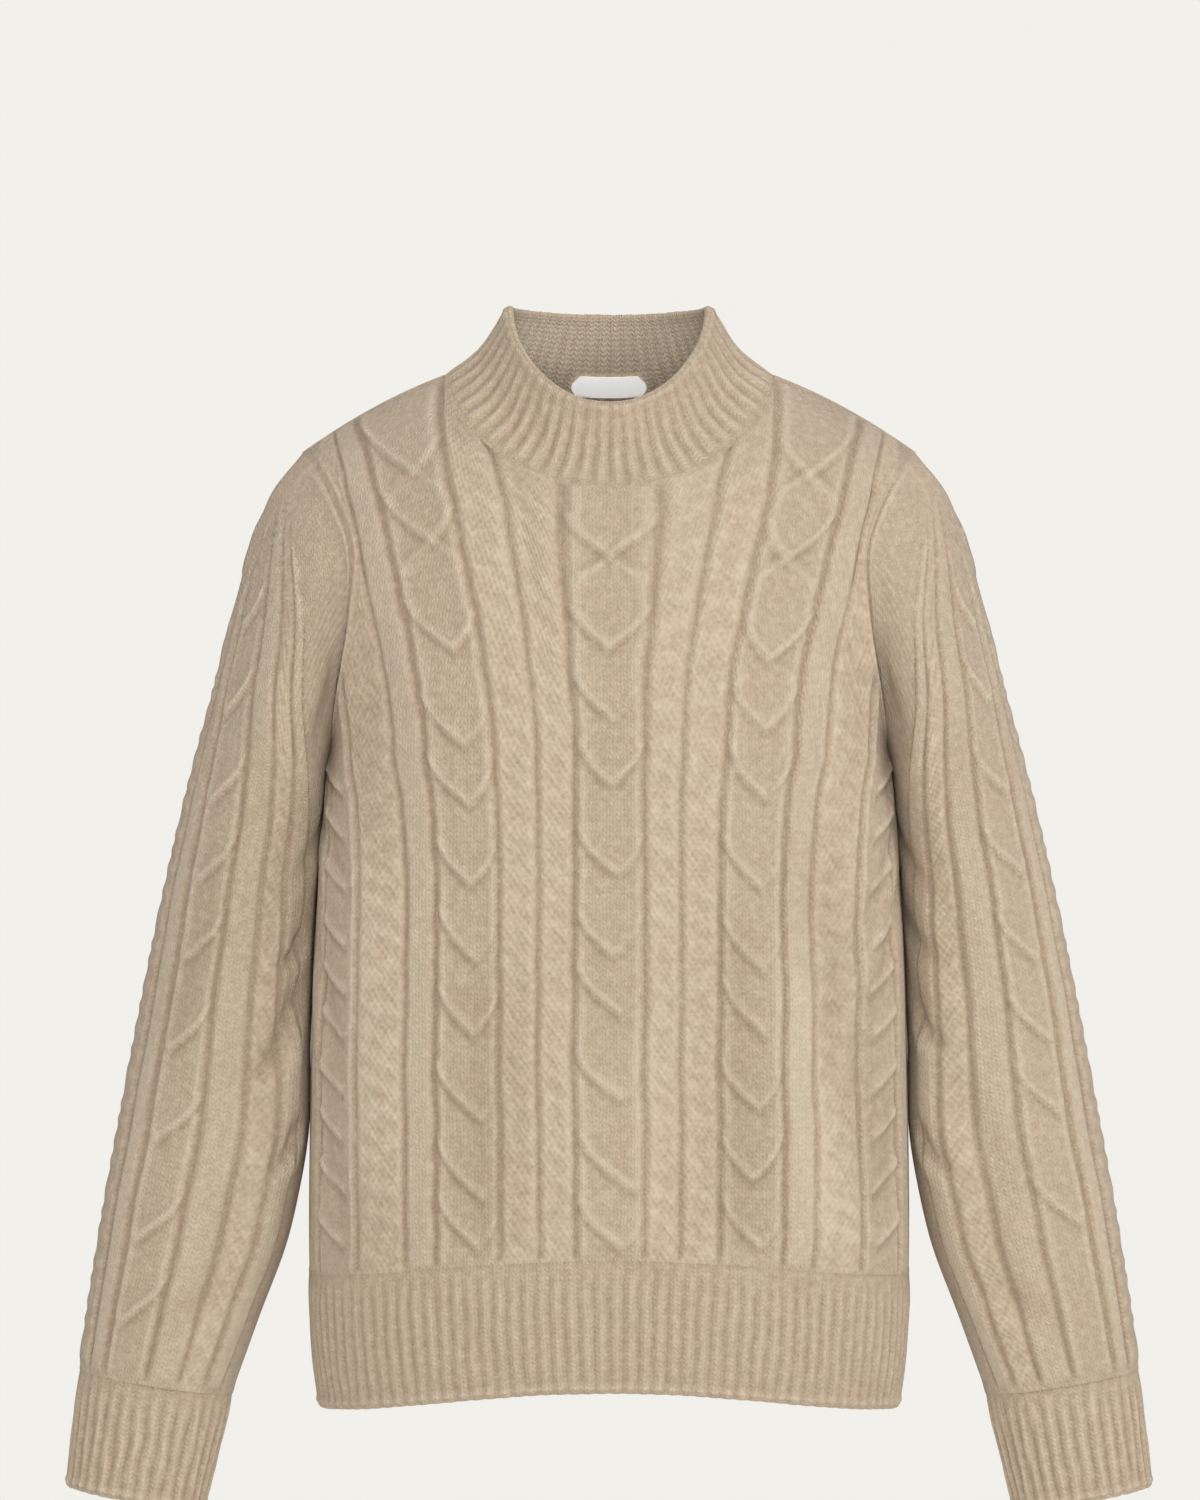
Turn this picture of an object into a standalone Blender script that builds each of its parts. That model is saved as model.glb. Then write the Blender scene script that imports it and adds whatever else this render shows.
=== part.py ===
"""Mock-neck cable knit sweater, hollow and filled out as on a wearer.

Metres, +Z up, front towards -Y, +X on the garment's left. The origin is the middle of the neck opening,
level with the points where the shoulder seams meet the collar. Tables and sizes below are in millimetres.

Every piece is a wall of knit: an outer skin with the cables and ribs raised on it, a plain inner skin, and
edges that close the two. Pieces stand SEAM_GAP apart along the lines where they are sewn together.
"""

import math
from collections import namedtuple

import bmesh
import bpy
from mathutils import Vector

MM = 0.001

# ---------------------------------------------------------------- driving sizes
WALL = 3.2  # thickness of the plain knit
SEAM_GAP = 0.4  # between two pieces that are sewn together
UNDERARM_Z = -230.0
QUARTER_ROUND = 237.0  # a quarter of the chest, along the knit
HEM_SEAM_SIDE_Z, HEM_SEAM_FRONT_RISE = -549.0, 16.0  # top of the hem rib; it rides up at the front
HEM_EDGE_SIDE_Z, HEM_EDGE_FRONT_RISE = -630.0, 19.0

# The torso, level by level.
Section = namedtuple("Section", "height half_width front_depth back_depth squareness")
TORSO = (
    Section(-632, 178.5, 103, 96, 2.50),
    Section(-600, 182.5, 107, 99, 2.55),
    Section(-555, 185.0, 111, 101, 2.60),
    Section(-505, 185.5, 112, 101, 2.65),
    Section(-382, 183.5, 110, 99, 2.70),
    Section(-320, 180.5, 109, 97, 2.70),
    Section(-260, 175.5, 109, 96, 2.62),
    Section(-230, 172.0, 110, 96, 2.55),
)

# The neck seam and the collar's open rim: two oval rings, each lower in front than at the sides.
NeckRing = namedtuple("NeckRing", "half_width front_depth back_depth side_z front_drop back_drop sag")
NECK_SEAM = NeckRing(102.0, 85.0, 76.0, 5.0, 73.0, 13.0, 1.2)
COLLAR_RIM = NeckRing(61.5, 62.0, 46.0, 47.0, 64.0, 2.0, 1.15)

# The shoulder seam runs from the neck seam's side to the sleeve, first gently and then steeper.
SHOULDER_TIP_X = 190.0
SHOULDER_FALL, SHOULDER_BEND = 33.0, 15.0

# One half of each armhole, from the underarm (up = 0) to the shoulder tip (up = 1). reach is how far across
# the panel the seam lies, as a share of a quarter round.
ArmholeRow = namedtuple("ArmholeRow", "up reach x y z")
ARMHOLE_FRONT = (
    ArmholeRow(0.00, 1.00, 172.0, 0.0, -230.0),
    ArmholeRow(0.10, 0.88, 170.5, -25.0, -219.0),
    ArmholeRow(0.23, 0.79, 166.5, -45.5, -190.0),
    ArmholeRow(0.40, 0.68, 160.0, -58.0, -148.0),
    ArmholeRow(0.59, 0.62, 158.0, -54.0, -104.0),
    ArmholeRow(0.77, 0.67, 171.0, -34.0, -69.0),
    ArmholeRow(0.92, 0.84, 183.0, -13.5, -50.0),
    ArmholeRow(1.00, 1.00, 190.0, 0.0, -43.0),
)
ARMHOLE_BACK = (
    ArmholeRow(0.00, 1.00, 172.0, 0.0, -230.0),
    ArmholeRow(0.10, 0.88, 170.0, 25.0, -219.0),
    ArmholeRow(0.23, 0.77, 164.5, 47.0, -190.0),
    ArmholeRow(0.39, 0.68, 158.5, 56.5, -148.0),
    ArmholeRow(0.56, 0.66, 162.0, 53.5, -104.0),
    ArmholeRow(0.72, 0.72, 173.0, 38.5, -69.0),
    ArmholeRow(0.88, 0.87, 184.0, 18.5, -50.0),
    ArmholeRow(1.00, 1.00, 190.0, 0.0, -43.0),
)

# The sleeve, ring by ring, from the armhole to the cuff seam: its outer and inner line, its depth, and how
# far the half that faces the body is squared.
SleeveRow = namedtuple("SleeveRow", "down out_x out_z in_x in_z half_depth y squared")
SLEEVE = (
    SleeveRow(0.00, 190.0, -43.0, 172.0, -230.0, 58.0, 0.0, 1.0),
    SleeveRow(0.06, 211.0, -71.0, 173.4, -236.0, 61.0, 1.0, 1.0),
    SleeveRow(0.17, 231.5, -134.0, 175.6, -247.0, 64.0, 1.0, 1.0),
    SleeveRow(0.28, 246.5, -196.0, 177.4, -264.0, 64.0, 1.0, 1.0),
    SleeveRow(0.39, 262.0, -258.0, 180.2, -294.0, 62.0, 1.0, 1.0),
    SleeveRow(0.50, 276.0, -320.0, 183.4, -346.0, 58.0, 0.0, 1.0),
    SleeveRow(0.61, 288.5, -382.0, 185.7, -406.0, 53.0, -2.0, 1.0),
    SleeveRow(0.72, 300.0, -444.0, 187.0, -466.0, 48.0, -4.0, 1.0),
    SleeveRow(0.83, 311.0, -506.0, 198.0, -527.0, 44.0, -7.0, 0.8),
    SleeveRow(0.92, 319.5, -560.0, 216.5, -578.0, 38.0, -9.5, 0.4),
    SleeveRow(1.00, 326.5, -609.0, 233.0, -624.0, 31.0, -11.0, 0.0),
)
CUFF = (
    SleeveRow(0.00, 326.6, -609.4, 233.1, -624.4, 30.0, -11.0, 0.0),
    SleeveRow(0.55, 330.5, -650.0, 243.5, -665.0, 24.5, -12.0, 0.0),
    SleeveRow(1.00, 334.0, -679.0, 250.5, -694.0, 22.5, -12.5, 0.0),
)
INNER_SQUARENESS = 3.0  # of a fully squared inner half, which lies flat against the body
CAP_SHARE = 0.42  # of the sleeve's length, over which the armhole's outline turns into an oval

# Which way the wall faces where two pieces share a seam. At the neck seam: sideways, to the front or back, and
# upwards, with what the sides add to that. At the armhole: outwards at mid-height and what its top and its
# underarm add, to the front or back, and upwards at the top and downwards at the underarm.
NeckFacing = namedtuple("NeckFacing", "sideways forwards up up_sides")
NECK_FACING = NeckFacing(0.62, 0.92, 0.38, 0.42)
ArmholeFacing = namedtuple("ArmholeFacing", "out out_top out_under forwards up_top down_under")
ARMHOLE_FACING = ArmholeFacing(0.35, 0.10, 0.45, 0.94, 0.9, 0.6)
ARMHOLE_TURN = 0.8  # below 1 the facing turns faster near the underarm
SHOULDER_FACING = Vector((0.45, 0.0, 0.9)).normalized()

# How the knit columns spread from the chest up to the neck and shoulders.
Spread = namedtuple("Spread", "height factor")
COLUMN_SPREAD = (Spread(-640, 0.95), Spread(-330, 0.95), Spread(-260, 1.03), Spread(-230, 1.12))
NECK_SHARE = 0.30  # of a quarter round: the columns that end at the neck seam
NECK_CROWDING = 1.4
# Where the outer columns end on the shoulder seam: those of the armhole band are packed near its tip.
ColumnEnd = namedtuple("ColumnEnd", "across along_seam")
SHOULDER_ENDS = (
    ColumnEnd(0.00, 0.00),
    ColumnEnd(0.12, 0.32),
    ColumnEnd(0.25, 0.60),
    ColumnEnd(0.38, 0.77),
    ColumnEnd(0.70, 0.90),
    ColumnEnd(1.00, 1.00),
)
# How far the panels lean over where they end, in degrees from upright: at the neck's middle and at the sides.
Lean = namedtuple("Lean", "centre shoulder")
LEAN_FRONT, LEAN_BACK = Lean(24.0, 58.0), Lean(27.0, 76.0)
# How far the corner between neck and shoulder is evened out below them, and how late it comes back.
CORNER_EASE, CORNER_SAMPLES, CORNER_SHARPNESS = 0.16, 7, 8
YOKE_COLUMN = 164.0  # length of a knit column from the underarm's level to the neck
SEAM_PULL = 3  # how sharply a yoke row's outer end turns to meet the armhole seam

# The knit pattern across half a panel: where each band ends, from the centre out, and its mesh columns.
Band = namedtuple("Band", "kind outer_edge columns height")
PANEL_BANDS = (
    Band("ogee", 19.0, 3, 3.6),
    Band("strip", 40.0, 2, 1.6),
    Band("rope", 63.5, 2, 2.2),
    Band("wide_ogee", 103.0, 6, 3.6),
    Band("strip", 123.0, 2, 1.6),
    Band("rope", 158.0, 3, 2.4),
    Band("plain", 237.0, 4, 0.0),
)
# The same round half a sleeve, in degrees from its outer line, front and back alike.
SLEEVE_BANDS = (
    Band("strip", 30.0, 2, 1.6),
    Band("strip", 48.0, 1, 0.8),
    Band("wide_ogee", 84.0, 4, 3.0),
    Band("strip", 108.0, 2, 1.4),
    Band("plain", 180.0, 3, 0.0),
)
OGEE_PITCH = 46.5  # from one crossing of a cable to the next
ROPE_PITCH = OGEE_PITCH / 2
ROPE_DEPTH = 0.28  # of its height, that a rope's turns rise and fall
SLEEVE_PITCH = 52.0
STRAND_HALF_WIDTH, SLEEVE_STRAND_HALF_WIDTH = 6.5, 8.0
STRAND_FULLNESS = 1.5  # the higher, the narrower a strand's crest
OGEE_SKEW, OGEE_ROUNDNESS = 0.8, 0.7  # a cable's eye is widest above its middle, and blunt

# Where the pattern dies out: the panels' armhole band towards the shoulder, and a sleeve's two ends.
YOKE_FADE, YOKE_FADE_ACROSS = (0.45, 0.9), (123.0, 130.0)
CAP_FADE, CUFF_FADE = (0.02, 0.10), (0.96, 1.0)

PANEL_ROWS = {"front": (28, 20), "back": (16, 16)}  # below and above the underarm
SLEEVE_RINGS = 36
INNER_STEP = 3  # away from its edges, the inner skin keeps every third line of the outer one

HEM_RIBS, HEM_RIB_HEIGHT = 104, 1.8
CUFF_RIBS, CUFF_RIB_HEIGHT = 26, 1.6
COLLAR_RIBS, COLLAR_RIB_HEIGHT = 62, 1.8
INNER_RIB_SHARE = 0.6  # the collar's inside is ribbed too, less deeply
COLLAR_LEVELS = (0.0, 0.35, 0.7, 1.0)
COLLAR_HOLLOW = 12.5  # how far the collar's side curves in above its seam, before it straightens
RIM_ROLL, RIM_ROLL_FROM = 1.2, 0.75  # the collar's rim rolls out this far

LABEL_WIDTH, LABEL_HEIGHT, LABEL_WALL = 55.0, 14.0, 0.8
LABEL_ABOVE_SEAM = 7.0
LABEL_ROUND = 94.0  # half width of the oval that the label follows
LABEL_COLUMNS, LABEL_ROWS = 10, 2

# The largest folds: soft ridges and troughs that run down the knit. across is measured from the centre on
# the front and back, and as a share of half a turn on a sleeve (front side negative, back positive).
Fold = namedtuple("Fold", "across top bottom width depth lean")
FOLD_END = 0.25  # of a fold's length, over which it rises at each end
FOLDS = {
    "front": (
        Fold(-68, -330, -560, 24, -3.5, 0.00),
        Fold(72, -300, -560, 22, -3.5, 0.00),
        Fold(-150, -260, -520, 24, 3.0, -0.05),
        Fold(118, -320, -560, 24, 3.5, -0.19),
        Fold(0, -380, -560, 34, 2.0, 0.00),
        Fold(150, -260, -520, 20, -3.5, -0.20),
    ),
    "back": (
        Fold(-70, -300, -560, 26, -3.0, 0.03),
        Fold(64, -330, -560, 24, -3.0, -0.04),
        Fold(-140, -250, -520, 24, 2.5, 0.05),
        Fold(136, -260, -540, 26, 2.5, -0.05),
    ),
}
SLEEVE_FOLDS = (
    Fold(-0.78, -250, -420, 0.07, -3.0, 0.0),
    Fold(-0.62, -470, -590, 0.06, -2.5, 0.0),
    Fold(0.70, -300, -560, 0.08, -2.5, 0.0),
)

# Finishes: linear colour and roughness.
KNIT_COLOUR = (0.58, 0.46, 0.325, 1.0)
RIB_COLOUR = (0.55, 0.435, 0.305, 1.0)
LABEL_COLOUR = (0.84, 0.83, 0.80, 1.0)
KNIT_ROUGHNESS, LABEL_ROUGHNESS = 0.95, 0.7


# ---------------------------------------------------------------- small helpers
def smooth_step(low, high, value):
    """Goes from 0 at low to 1 at high, flat at both ends."""
    share = min(max((value - low) / (high - low), 0.0), 1.0)
    return share * share * (3 - 2 * share)


def read_table(rows, value):
    """Reads a table at a value of its first column, on a smooth curve through its rows."""
    keys = [row[0] for row in rows]
    if keys[0] > keys[-1]:
        rows, keys = rows[::-1], keys[::-1]
    value = min(max(value, keys[0]), keys[-1])
    i = max(k for k in range(len(rows) - 1) if keys[k] <= value)
    a, b = rows[i], rows[i + 1]
    before, after = rows[max(i - 1, 0)], rows[min(i + 2, len(rows) - 1)]
    span = b[0] - a[0]
    s = (value - a[0]) / span
    read = []
    for k in range(len(a)):
        slope_a = (b[k] - before[k]) / (b[0] - before[0]) * span
        slope_b = (after[k] - a[k]) / (after[0] - a[0]) * span
        read.append(hermite(a[k], b[k], slope_a, slope_b, s))
    return type(a)(*read)


def hermite(start, end, start_slope, end_slope, s):
    """The cubic from start to end with these slopes."""
    return (
        start * (1 + 2 * s) * (1 - s) ** 2
        + end * s * s * (3 - 2 * s)
        + start_slope * s * (1 - s) ** 2
        - end_slope * s * s * (1 - s)
    )


def bump(distance, half_width):
    """A rounded ridge: 1 on its crest, 0 at its edges."""
    share = min(abs(distance) / half_width, 1.0)
    return math.cos(share * math.pi / 2) ** STRAND_FULLNESS if share < 1 else 0.0


# ---------------------------------------------------------------- knit pattern
def ogee_strand(phase, spread):
    """How far a cable's two strands stand from its middle: they cross at phase 0 and bow apart above it."""
    return spread * math.sin(math.pi * phase**OGEE_SKEW) ** OGEE_ROUNDNESS


def relief(bands, across, up, pitch, strand=STRAND_HALF_WIDTH):
    """How far the pattern stands above the plain knit at a place across the bands and up the columns."""
    inner = 0.0
    across = abs(across)
    for band in bands:
        if across <= band.outer_edge:
            break
        inner = band.outer_edge
    width = band.outer_edge - inner
    if band.kind == "plain":
        return 0.0
    phase = (up / pitch) % 1.0
    if band.kind == "ogee":
        return band.height * bump(across - ogee_strand(phase, width - strand), strand)
    middle = (inner + band.outer_edge) / 2
    if band.kind == "wide_ogee":
        offset = ogee_strand(phase, width / 2 - strand)
        return band.height * bump(abs(across - middle) - offset, strand)
    ridge = bump(across - middle, width / 2)
    if band.kind == "rope":
        turn = math.cos(2 * math.pi * (up / ROPE_PITCH + across / width))
        return band.height * ridge * (1 - ROPE_DEPTH + ROPE_DEPTH * turn)
    return band.height * ridge


def fold_height(folds, across, z):
    """The sum of the folds at one place."""
    total = 0.0
    for fold in folds:
        middle = (fold.top + fold.bottom) / 2
        off = (across - fold.across - fold.lean * (z - middle)) / fold.width
        end = FOLD_END * (fold.top - fold.bottom)
        along = smooth_step(fold.bottom, fold.bottom + end, z) * (1 - smooth_step(fold.top - end, fold.top, z))
        total += fold.depth * math.exp(-off * off) * along
    return total


# ---------------------------------------------------------------- torso surface
def arc_to_angle(half_width, depth, squareness, samples=400):
    """For one quarter of a rounded section, the angle at which each share of its length is reached."""
    lengths, last = [0.0], None
    for i in range(samples + 1):
        angle = math.pi / 2 * i / samples
        here = Vector(
            (
                half_width * math.sin(angle) ** (2 / squareness),
                depth * math.cos(angle) ** (2 / squareness) if angle < math.pi / 2 else 0.0,
            )
        )
        if last is not None:
            lengths.append(lengths[-1] + (here - last).length)
        last = here
    return [length / lengths[-1] for length in lengths]


TORSO_SHARES = arc_to_angle(TORSO[-1].half_width, TORSO[-1].front_depth, TORSO[-1].squareness)
SLEEVE_SHARES = arc_to_angle(1.0, 1.0, INNER_SQUARENESS)


def section_angle(shares, share):
    """The section angle that lies a share of a quarter round away from its start."""
    low, high = 0, len(shares) - 1
    while high - low > 1:
        middle = (low + high) // 2
        if shares[middle] <= share:
            low = middle
        else:
            high = middle
    part = (share - shares[low]) / (shares[high] - shares[low])
    return math.pi / 2 * (low + part) / (len(shares) - 1)


def torso_point(facing, share, z):
    """A point of the torso below the underarm. facing is -1 for the front and 1 for the back."""
    section = read_table(TORSO, z)
    angle = section_angle(TORSO_SHARES, share)
    depth = section.front_depth if facing < 0 else section.back_depth
    power = 2 / section.squareness
    return Vector(
        (
            section.half_width * math.sin(angle) ** power,
            facing * depth * (math.cos(angle) ** power if share < 1 else 0.0),
            z,
        )
    )


def hem_level(share, facing, side_z, front_rise):
    """The height of a hem line, which rides up towards the middle of the front."""
    rise = front_rise * math.cos(math.pi / 2 * share) ** 2 if facing < 0 else 0.0
    return side_z + rise


def ring_point(ring, turn):
    """A point of a neck ring. turn is 0 in front, a quarter at the wearer's left, a half behind."""
    angle = 2 * math.pi * turn
    c = math.cos(angle)
    if c >= 0:
        y, z = -ring.front_depth * c, ring.side_z - ring.front_drop * c**ring.sag
    else:
        y, z = -ring.back_depth * c, ring.side_z - ring.back_drop * (-c) ** 2
    return Vector((ring.half_width * math.sin(angle), y, z))


def neck_seam_normal(turn):
    """The direction through the wall at the neck seam, shared by the panels and the collar."""
    angle = 2 * math.pi * turn
    side = math.sin(angle)
    up = NECK_FACING.up + NECK_FACING.up_sides * side * side
    return Vector((NECK_FACING.sideways * side, -NECK_FACING.forwards * math.cos(angle), up)).normalized()


def shoulder_point(share):
    """A point of the shoulder seam, from the neck (0) to the shoulder tip (1)."""
    x = NECK_SEAM.half_width + share * (SHOULDER_TIP_X - NECK_SEAM.half_width)
    return Vector((x, 0.0, NECK_SEAM.side_z - SHOULDER_FALL * share - SHOULDER_BEND * share**2))


def top_point(facing, share):
    """Where a knit column ends: at the neck seam or at the shoulder seam."""
    if share <= NECK_SHARE:
        quarter = 0.25 * (share / NECK_SHARE) ** NECK_CROWDING
        return ring_point(NECK_SEAM, quarter if facing < 0 else 0.5 - quarter)
    return shoulder_point(read_table(SHOULDER_ENDS, (share - NECK_SHARE) / (1 - NECK_SHARE)).along_seam)


def armhole_row(facing, up):
    return read_table(ARMHOLE_FRONT if facing < 0 else ARMHOLE_BACK, up)


def armhole_normal(facing, up):
    """The direction through the wall at the armhole seam, shared by a panel and its sleeve."""
    up = up**ARMHOLE_TURN
    angle = math.pi * (1 - up)
    top, under = max(math.cos(angle), 0.0), max(-math.cos(angle), 0.0)
    x = ARMHOLE_FACING.out + ARMHOLE_FACING.out_top * top + ARMHOLE_FACING.out_under * under
    y = facing * ARMHOLE_FACING.forwards * math.sin(angle)
    z = ARMHOLE_FACING.up_top * top - ARMHOLE_FACING.down_under * under
    return Vector((x, y, z)).normalized()


def eased_top_point(facing, share):
    """The line of the column ends with its corner evened out."""
    reach = min(CORNER_EASE, share, 1 - share)
    offsets = [reach * (2 * k / (CORNER_SAMPLES - 1) - 1) for k in range(CORNER_SAMPLES)]
    return sum((top_point(facing, share + offset) for offset in offsets), Vector()) / CORNER_SAMPLES


def yoke_point(facing, share, up):
    """A point of a panel above the underarm: the column that starts at share, a part up of its way."""
    start = torso_point(facing, share, UNDERARM_Z)
    end = eased_top_point(facing, share)
    lean = LEAN_FRONT if facing < 0 else LEAN_BACK
    over = math.radians(lean.centre + (lean.shoulder - lean.centre) * smooth_step(0.0, NECK_SHARE, share))
    rise = Vector((0.0, -facing * math.sin(over), math.cos(over)))
    length = (end - start).length
    corner = (top_point(facing, share) - end) * up**CORNER_SHARPNESS
    return hermite(start, end, Vector((0, 0, length)), rise * length, up) + corner


def edge_shift(facing, up):
    """What brings a row's last point onto the armhole seam."""
    row = armhole_row(facing, up)
    return Vector((row.x, row.y, row.z)) - yoke_point(facing, row.reach, up)


# ---------------------------------------------------------------- panels
def band_shares():
    """The mesh columns of half a panel, as lengths from the centre at the chest, and the last inner one."""
    places, inner, fixed = [0.0], 0.0, 0
    for band in PANEL_BANDS:
        for k in range(band.columns):
            places.append(inner + (band.outer_edge - inner) * (k + 1) / band.columns)
        inner = band.outer_edge
        if band.kind == "strip":
            fixed = len(places) - 1
    return places, fixed


def column_share(place, fixed_edge, spread, reach):
    """How far round its quarter a knit column lies: those beyond fixed_edge fill up the way to reach."""
    fixed_share = fixed_edge * spread / QUARTER_ROUND
    outer = max(place - fixed_edge, 0.0) / (QUARTER_ROUND - fixed_edge)
    return min(place, fixed_edge) * spread / QUARTER_ROUND + (reach - fixed_share) * outer


def panel_row(facing, name, row):
    """One row of half a panel, from the centre out: points, and their place in the knit pattern."""
    below, above = PANEL_ROWS[name]
    places, fixed = band_shares()
    if row <= below:
        part, up = row / below, 0.0
    else:
        part, up = 1.0, (row - below) / above
    reach = armhole_row(facing, up).reach
    shift = edge_shift(facing, up)
    points, pattern = [], []
    for place in places:
        seam_share = column_share(place, places[fixed], COLUMN_SPREAD[0].factor, 1.0)
        seam_z = hem_level(seam_share, facing, HEM_SEAM_SIDE_Z, HEM_SEAM_FRONT_RISE)
        z = seam_z + (UNDERARM_Z - seam_z) * part
        share = column_share(place, places[fixed], read_table(COLUMN_SPREAD, z).factor, reach)
        along = (UNDERARM_Z - HEM_SEAM_SIDE_Z - HEM_SEAM_FRONT_RISE) * part + YOKE_COLUMN * up
        if up == 0.0:
            points.append(torso_point(facing, min(share, 1.0), z))
        else:
            points.append(yoke_point(facing, share, up) + shift * (share / reach) ** SEAM_PULL)
        pattern.append((place, along))
    return points, pattern


def grid_normals(grid, facing):
    """The wall's direction at every point of a panel, from its neighbours; it always faces out and up."""
    rows, columns = len(grid), len(grid[0])
    normals = []
    for i in range(rows):
        line = []
        for j in range(columns):
            up = grid[min(i + 1, rows - 1)][j] - grid[max(i - 1, 0)][j]
            across = grid[i][min(j + 1, columns - 1)] - grid[i][max(j - 1, 0)]
            normal = across.cross(up).normalized()
            if facing * normal.y + normal.z < 0:
                normal.negate()
            line.append(normal)
        normals.append(line)
    return normals


def panel(name, facing):
    """A body panel from side seam to side seam and from the hem rib to the neck and shoulders."""
    below, above = PANEL_ROWS[name]
    grid, pattern = [], []
    for row in range(below + above + 1):
        half, places = panel_row(facing, name, row)
        mirrored = [Vector((-p.x, p.y, p.z)) for p in half[:0:-1]]
        grid.append(mirrored + half)
        pattern.append([(-across, along) for across, along in places[:0:-1]] + places)
    normals = grid_normals(grid, facing)
    outer, inner = [], []
    for i, line in enumerate(grid[:-1]):
        up = max(i - below, 0) / above
        outer_line, inner_line = [], []
        for j, point in enumerate(line):
            across, along = pattern[i][j]
            if j in (0, len(line) - 1):
                base, normal = side_edge(point, facing, up, i - below)
                height = 0.0
            else:
                normal = normals[i][j]
                base = point + normal * fold_height(FOLDS[name], across, point.z)
                height = relief(PANEL_BANDS, across, along, OGEE_PITCH)
                height *= 1 - smooth_step(*YOKE_FADE, up) * smooth_step(*YOKE_FADE_ACROSS, abs(across))
            if i == 0:
                base.z, height = point.z + SEAM_GAP / 2, 0.0
            outer_line.append(base + normal * height)
            inner_line.append(base - normal * WALL)
        outer.append(outer_line)
        inner.append(inner_line)
    top, through = top_edge(facing, grid[-1])
    outer.append(top)
    inner.append([p - n * WALL for p, n in zip(top, through)])
    return sheet_wall(name, outer, inner)


def side_edge(point, facing, up, rows_up):
    """A panel's edge point and the direction through the wall, at the side seam or at the armhole."""
    sign = -1 if point.x < 0 else 1
    base, normal = point.copy(), Vector((sign, 0.0, 0.0))
    if rows_up >= 0:
        normal = armhole_normal(facing, up)
        normal.x *= sign
        base += armhole_inset(facing, up, sign)
    if rows_up <= 0:
        base.y = facing * SEAM_GAP / 2
    return base, normal


def top_edge(facing, line):
    """The shoulder seams and the neck seam between them, with a point at every edge of a collar rib."""
    points, through = [], []
    shoulder = [p for p in line if p.x > NECK_SEAM.half_width + 1.0]
    for p in shoulder:
        along = (p.x - NECK_SEAM.half_width) / (SHOULDER_TIP_X - NECK_SEAM.half_width)
        point = shoulder_point(along)
        if p is shoulder[-1]:
            point += armhole_inset(facing, 1.0, 1)
        point.y = facing * SEAM_GAP / 2
        points.append(point)
        through.append(SHOULDER_FACING)
    neck, neck_through = [], []
    for k in range(COLLAR_RIBS + 1):
        turn = -0.25 + 0.5 * k / COLLAR_RIBS
        turn = turn if facing < 0 else 0.5 - turn
        point = ring_point(NECK_SEAM, turn)
        point.z -= SEAM_GAP / 2
        if k in (0, COLLAR_RIBS):
            point.y = facing * SEAM_GAP / 2
        neck.append(point)
        neck_through.append(neck_seam_normal(turn))
    left = [Vector((-p.x, p.y, p.z)) for p in points[::-1]]
    left_through = [Vector((-n.x, n.y, n.z)) for n in through[::-1]]
    return left + neck + points, left_through + neck_through + through


def armhole_inset(facing, up, sign):
    """Half the seam gap, from the armhole seam into the panel."""
    step = 0.01
    low, high = armhole_row(facing, max(up - step, 0.0)), armhole_row(facing, min(up + step, 1.0))
    tangent = Vector((high.x - low.x, high.y - low.y, high.z - low.z)).normalized()
    inset = tangent.cross(armhole_normal(facing, up)).normalized() * SEAM_GAP / 2
    if inset.x > 0:
        inset.negate()
    inset.x *= sign
    return inset


# ---------------------------------------------------------------- sleeves and cuffs
def squared_quarter(inwards):
    """A squared inner quarter at a share of its length: how far in and how deep it is there, from 0 to 1."""
    angle, power = section_angle(SLEEVE_SHARES, inwards), 2 / INNER_SQUARENESS
    return math.sin(angle) ** power, math.cos(angle) ** power if inwards < 1 else 0.0


def tube_point(row, half_turn):
    """A point of a sleeve ring. half_turn is 0 on the outer line, -1 and 1 on the inner line."""
    outwards, deep = math.cos(math.pi * half_turn), math.sin(math.pi * half_turn)
    inwards = 2 * abs(half_turn) - 1
    if inwards > 0:
        square_in, square_deep = squared_quarter(inwards)
        outwards += row.squared * (-square_in - outwards)
        deep += row.squared * (math.copysign(square_deep, half_turn) - deep)
    out, inside = Vector((row.out_x, 0, row.out_z)), Vector((row.in_x, 0, row.in_z))
    middle, arm = (out + inside) / 2, (out - inside) / 2
    return middle + arm * outwards + Vector((0, row.half_depth * deep + row.y, 0))


def armhole_point(half_turn):
    """The seam point at a place round the sleeve, with the gap taken on the sleeve's side."""
    facing = -1 if half_turn < 0 else 1
    up = 1 - abs(half_turn)
    row = armhole_row(facing, up)
    return Vector((row.x, row.y, row.z)) - armhole_inset(facing, up, 1)


def sleeve_columns():
    """The mesh columns round a sleeve, as shares of half a turn from the outer line."""
    half, inner = [0.0], 0.0
    for band in SLEEVE_BANDS:
        for k in range(band.columns):
            half.append((inner + (band.outer_edge - inner) * (k + 1) / band.columns) / 180.0)
        inner = band.outer_edge
    return [-share for share in half[:0:-1]] + half[:-1]


def sleeve_ring(down, places):
    """One ring of a sleeve before its pattern."""
    row = read_table(SLEEVE, down)
    fade = 1 - smooth_step(0.0, CAP_SHARE, down)
    ring = []
    for place in places:
        point = tube_point(row, place)
        if fade > 0:
            point += (armhole_point(place) - tube_point(SLEEVE[0], place)) * fade
        ring.append(point)
    return ring


def ring_normals(rings, centre_of):
    """The wall's direction round closed rings that follow each other."""
    normals = []
    for i, ring in enumerate(rings):
        count = len(ring)
        before, after = rings[max(i - 1, 0)], rings[min(i + 1, len(rings) - 1)]
        line = []
        for j in range(count):
            across = ring[(j + 1) % count] - ring[j - 1]
            normal = across.cross(after[j] - before[j]).normalized()
            if normal.dot(ring[j] - centre_of(ring)) < 0:
                normal.negate()
            line.append(normal)
        normals.append(line)
    return normals


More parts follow.
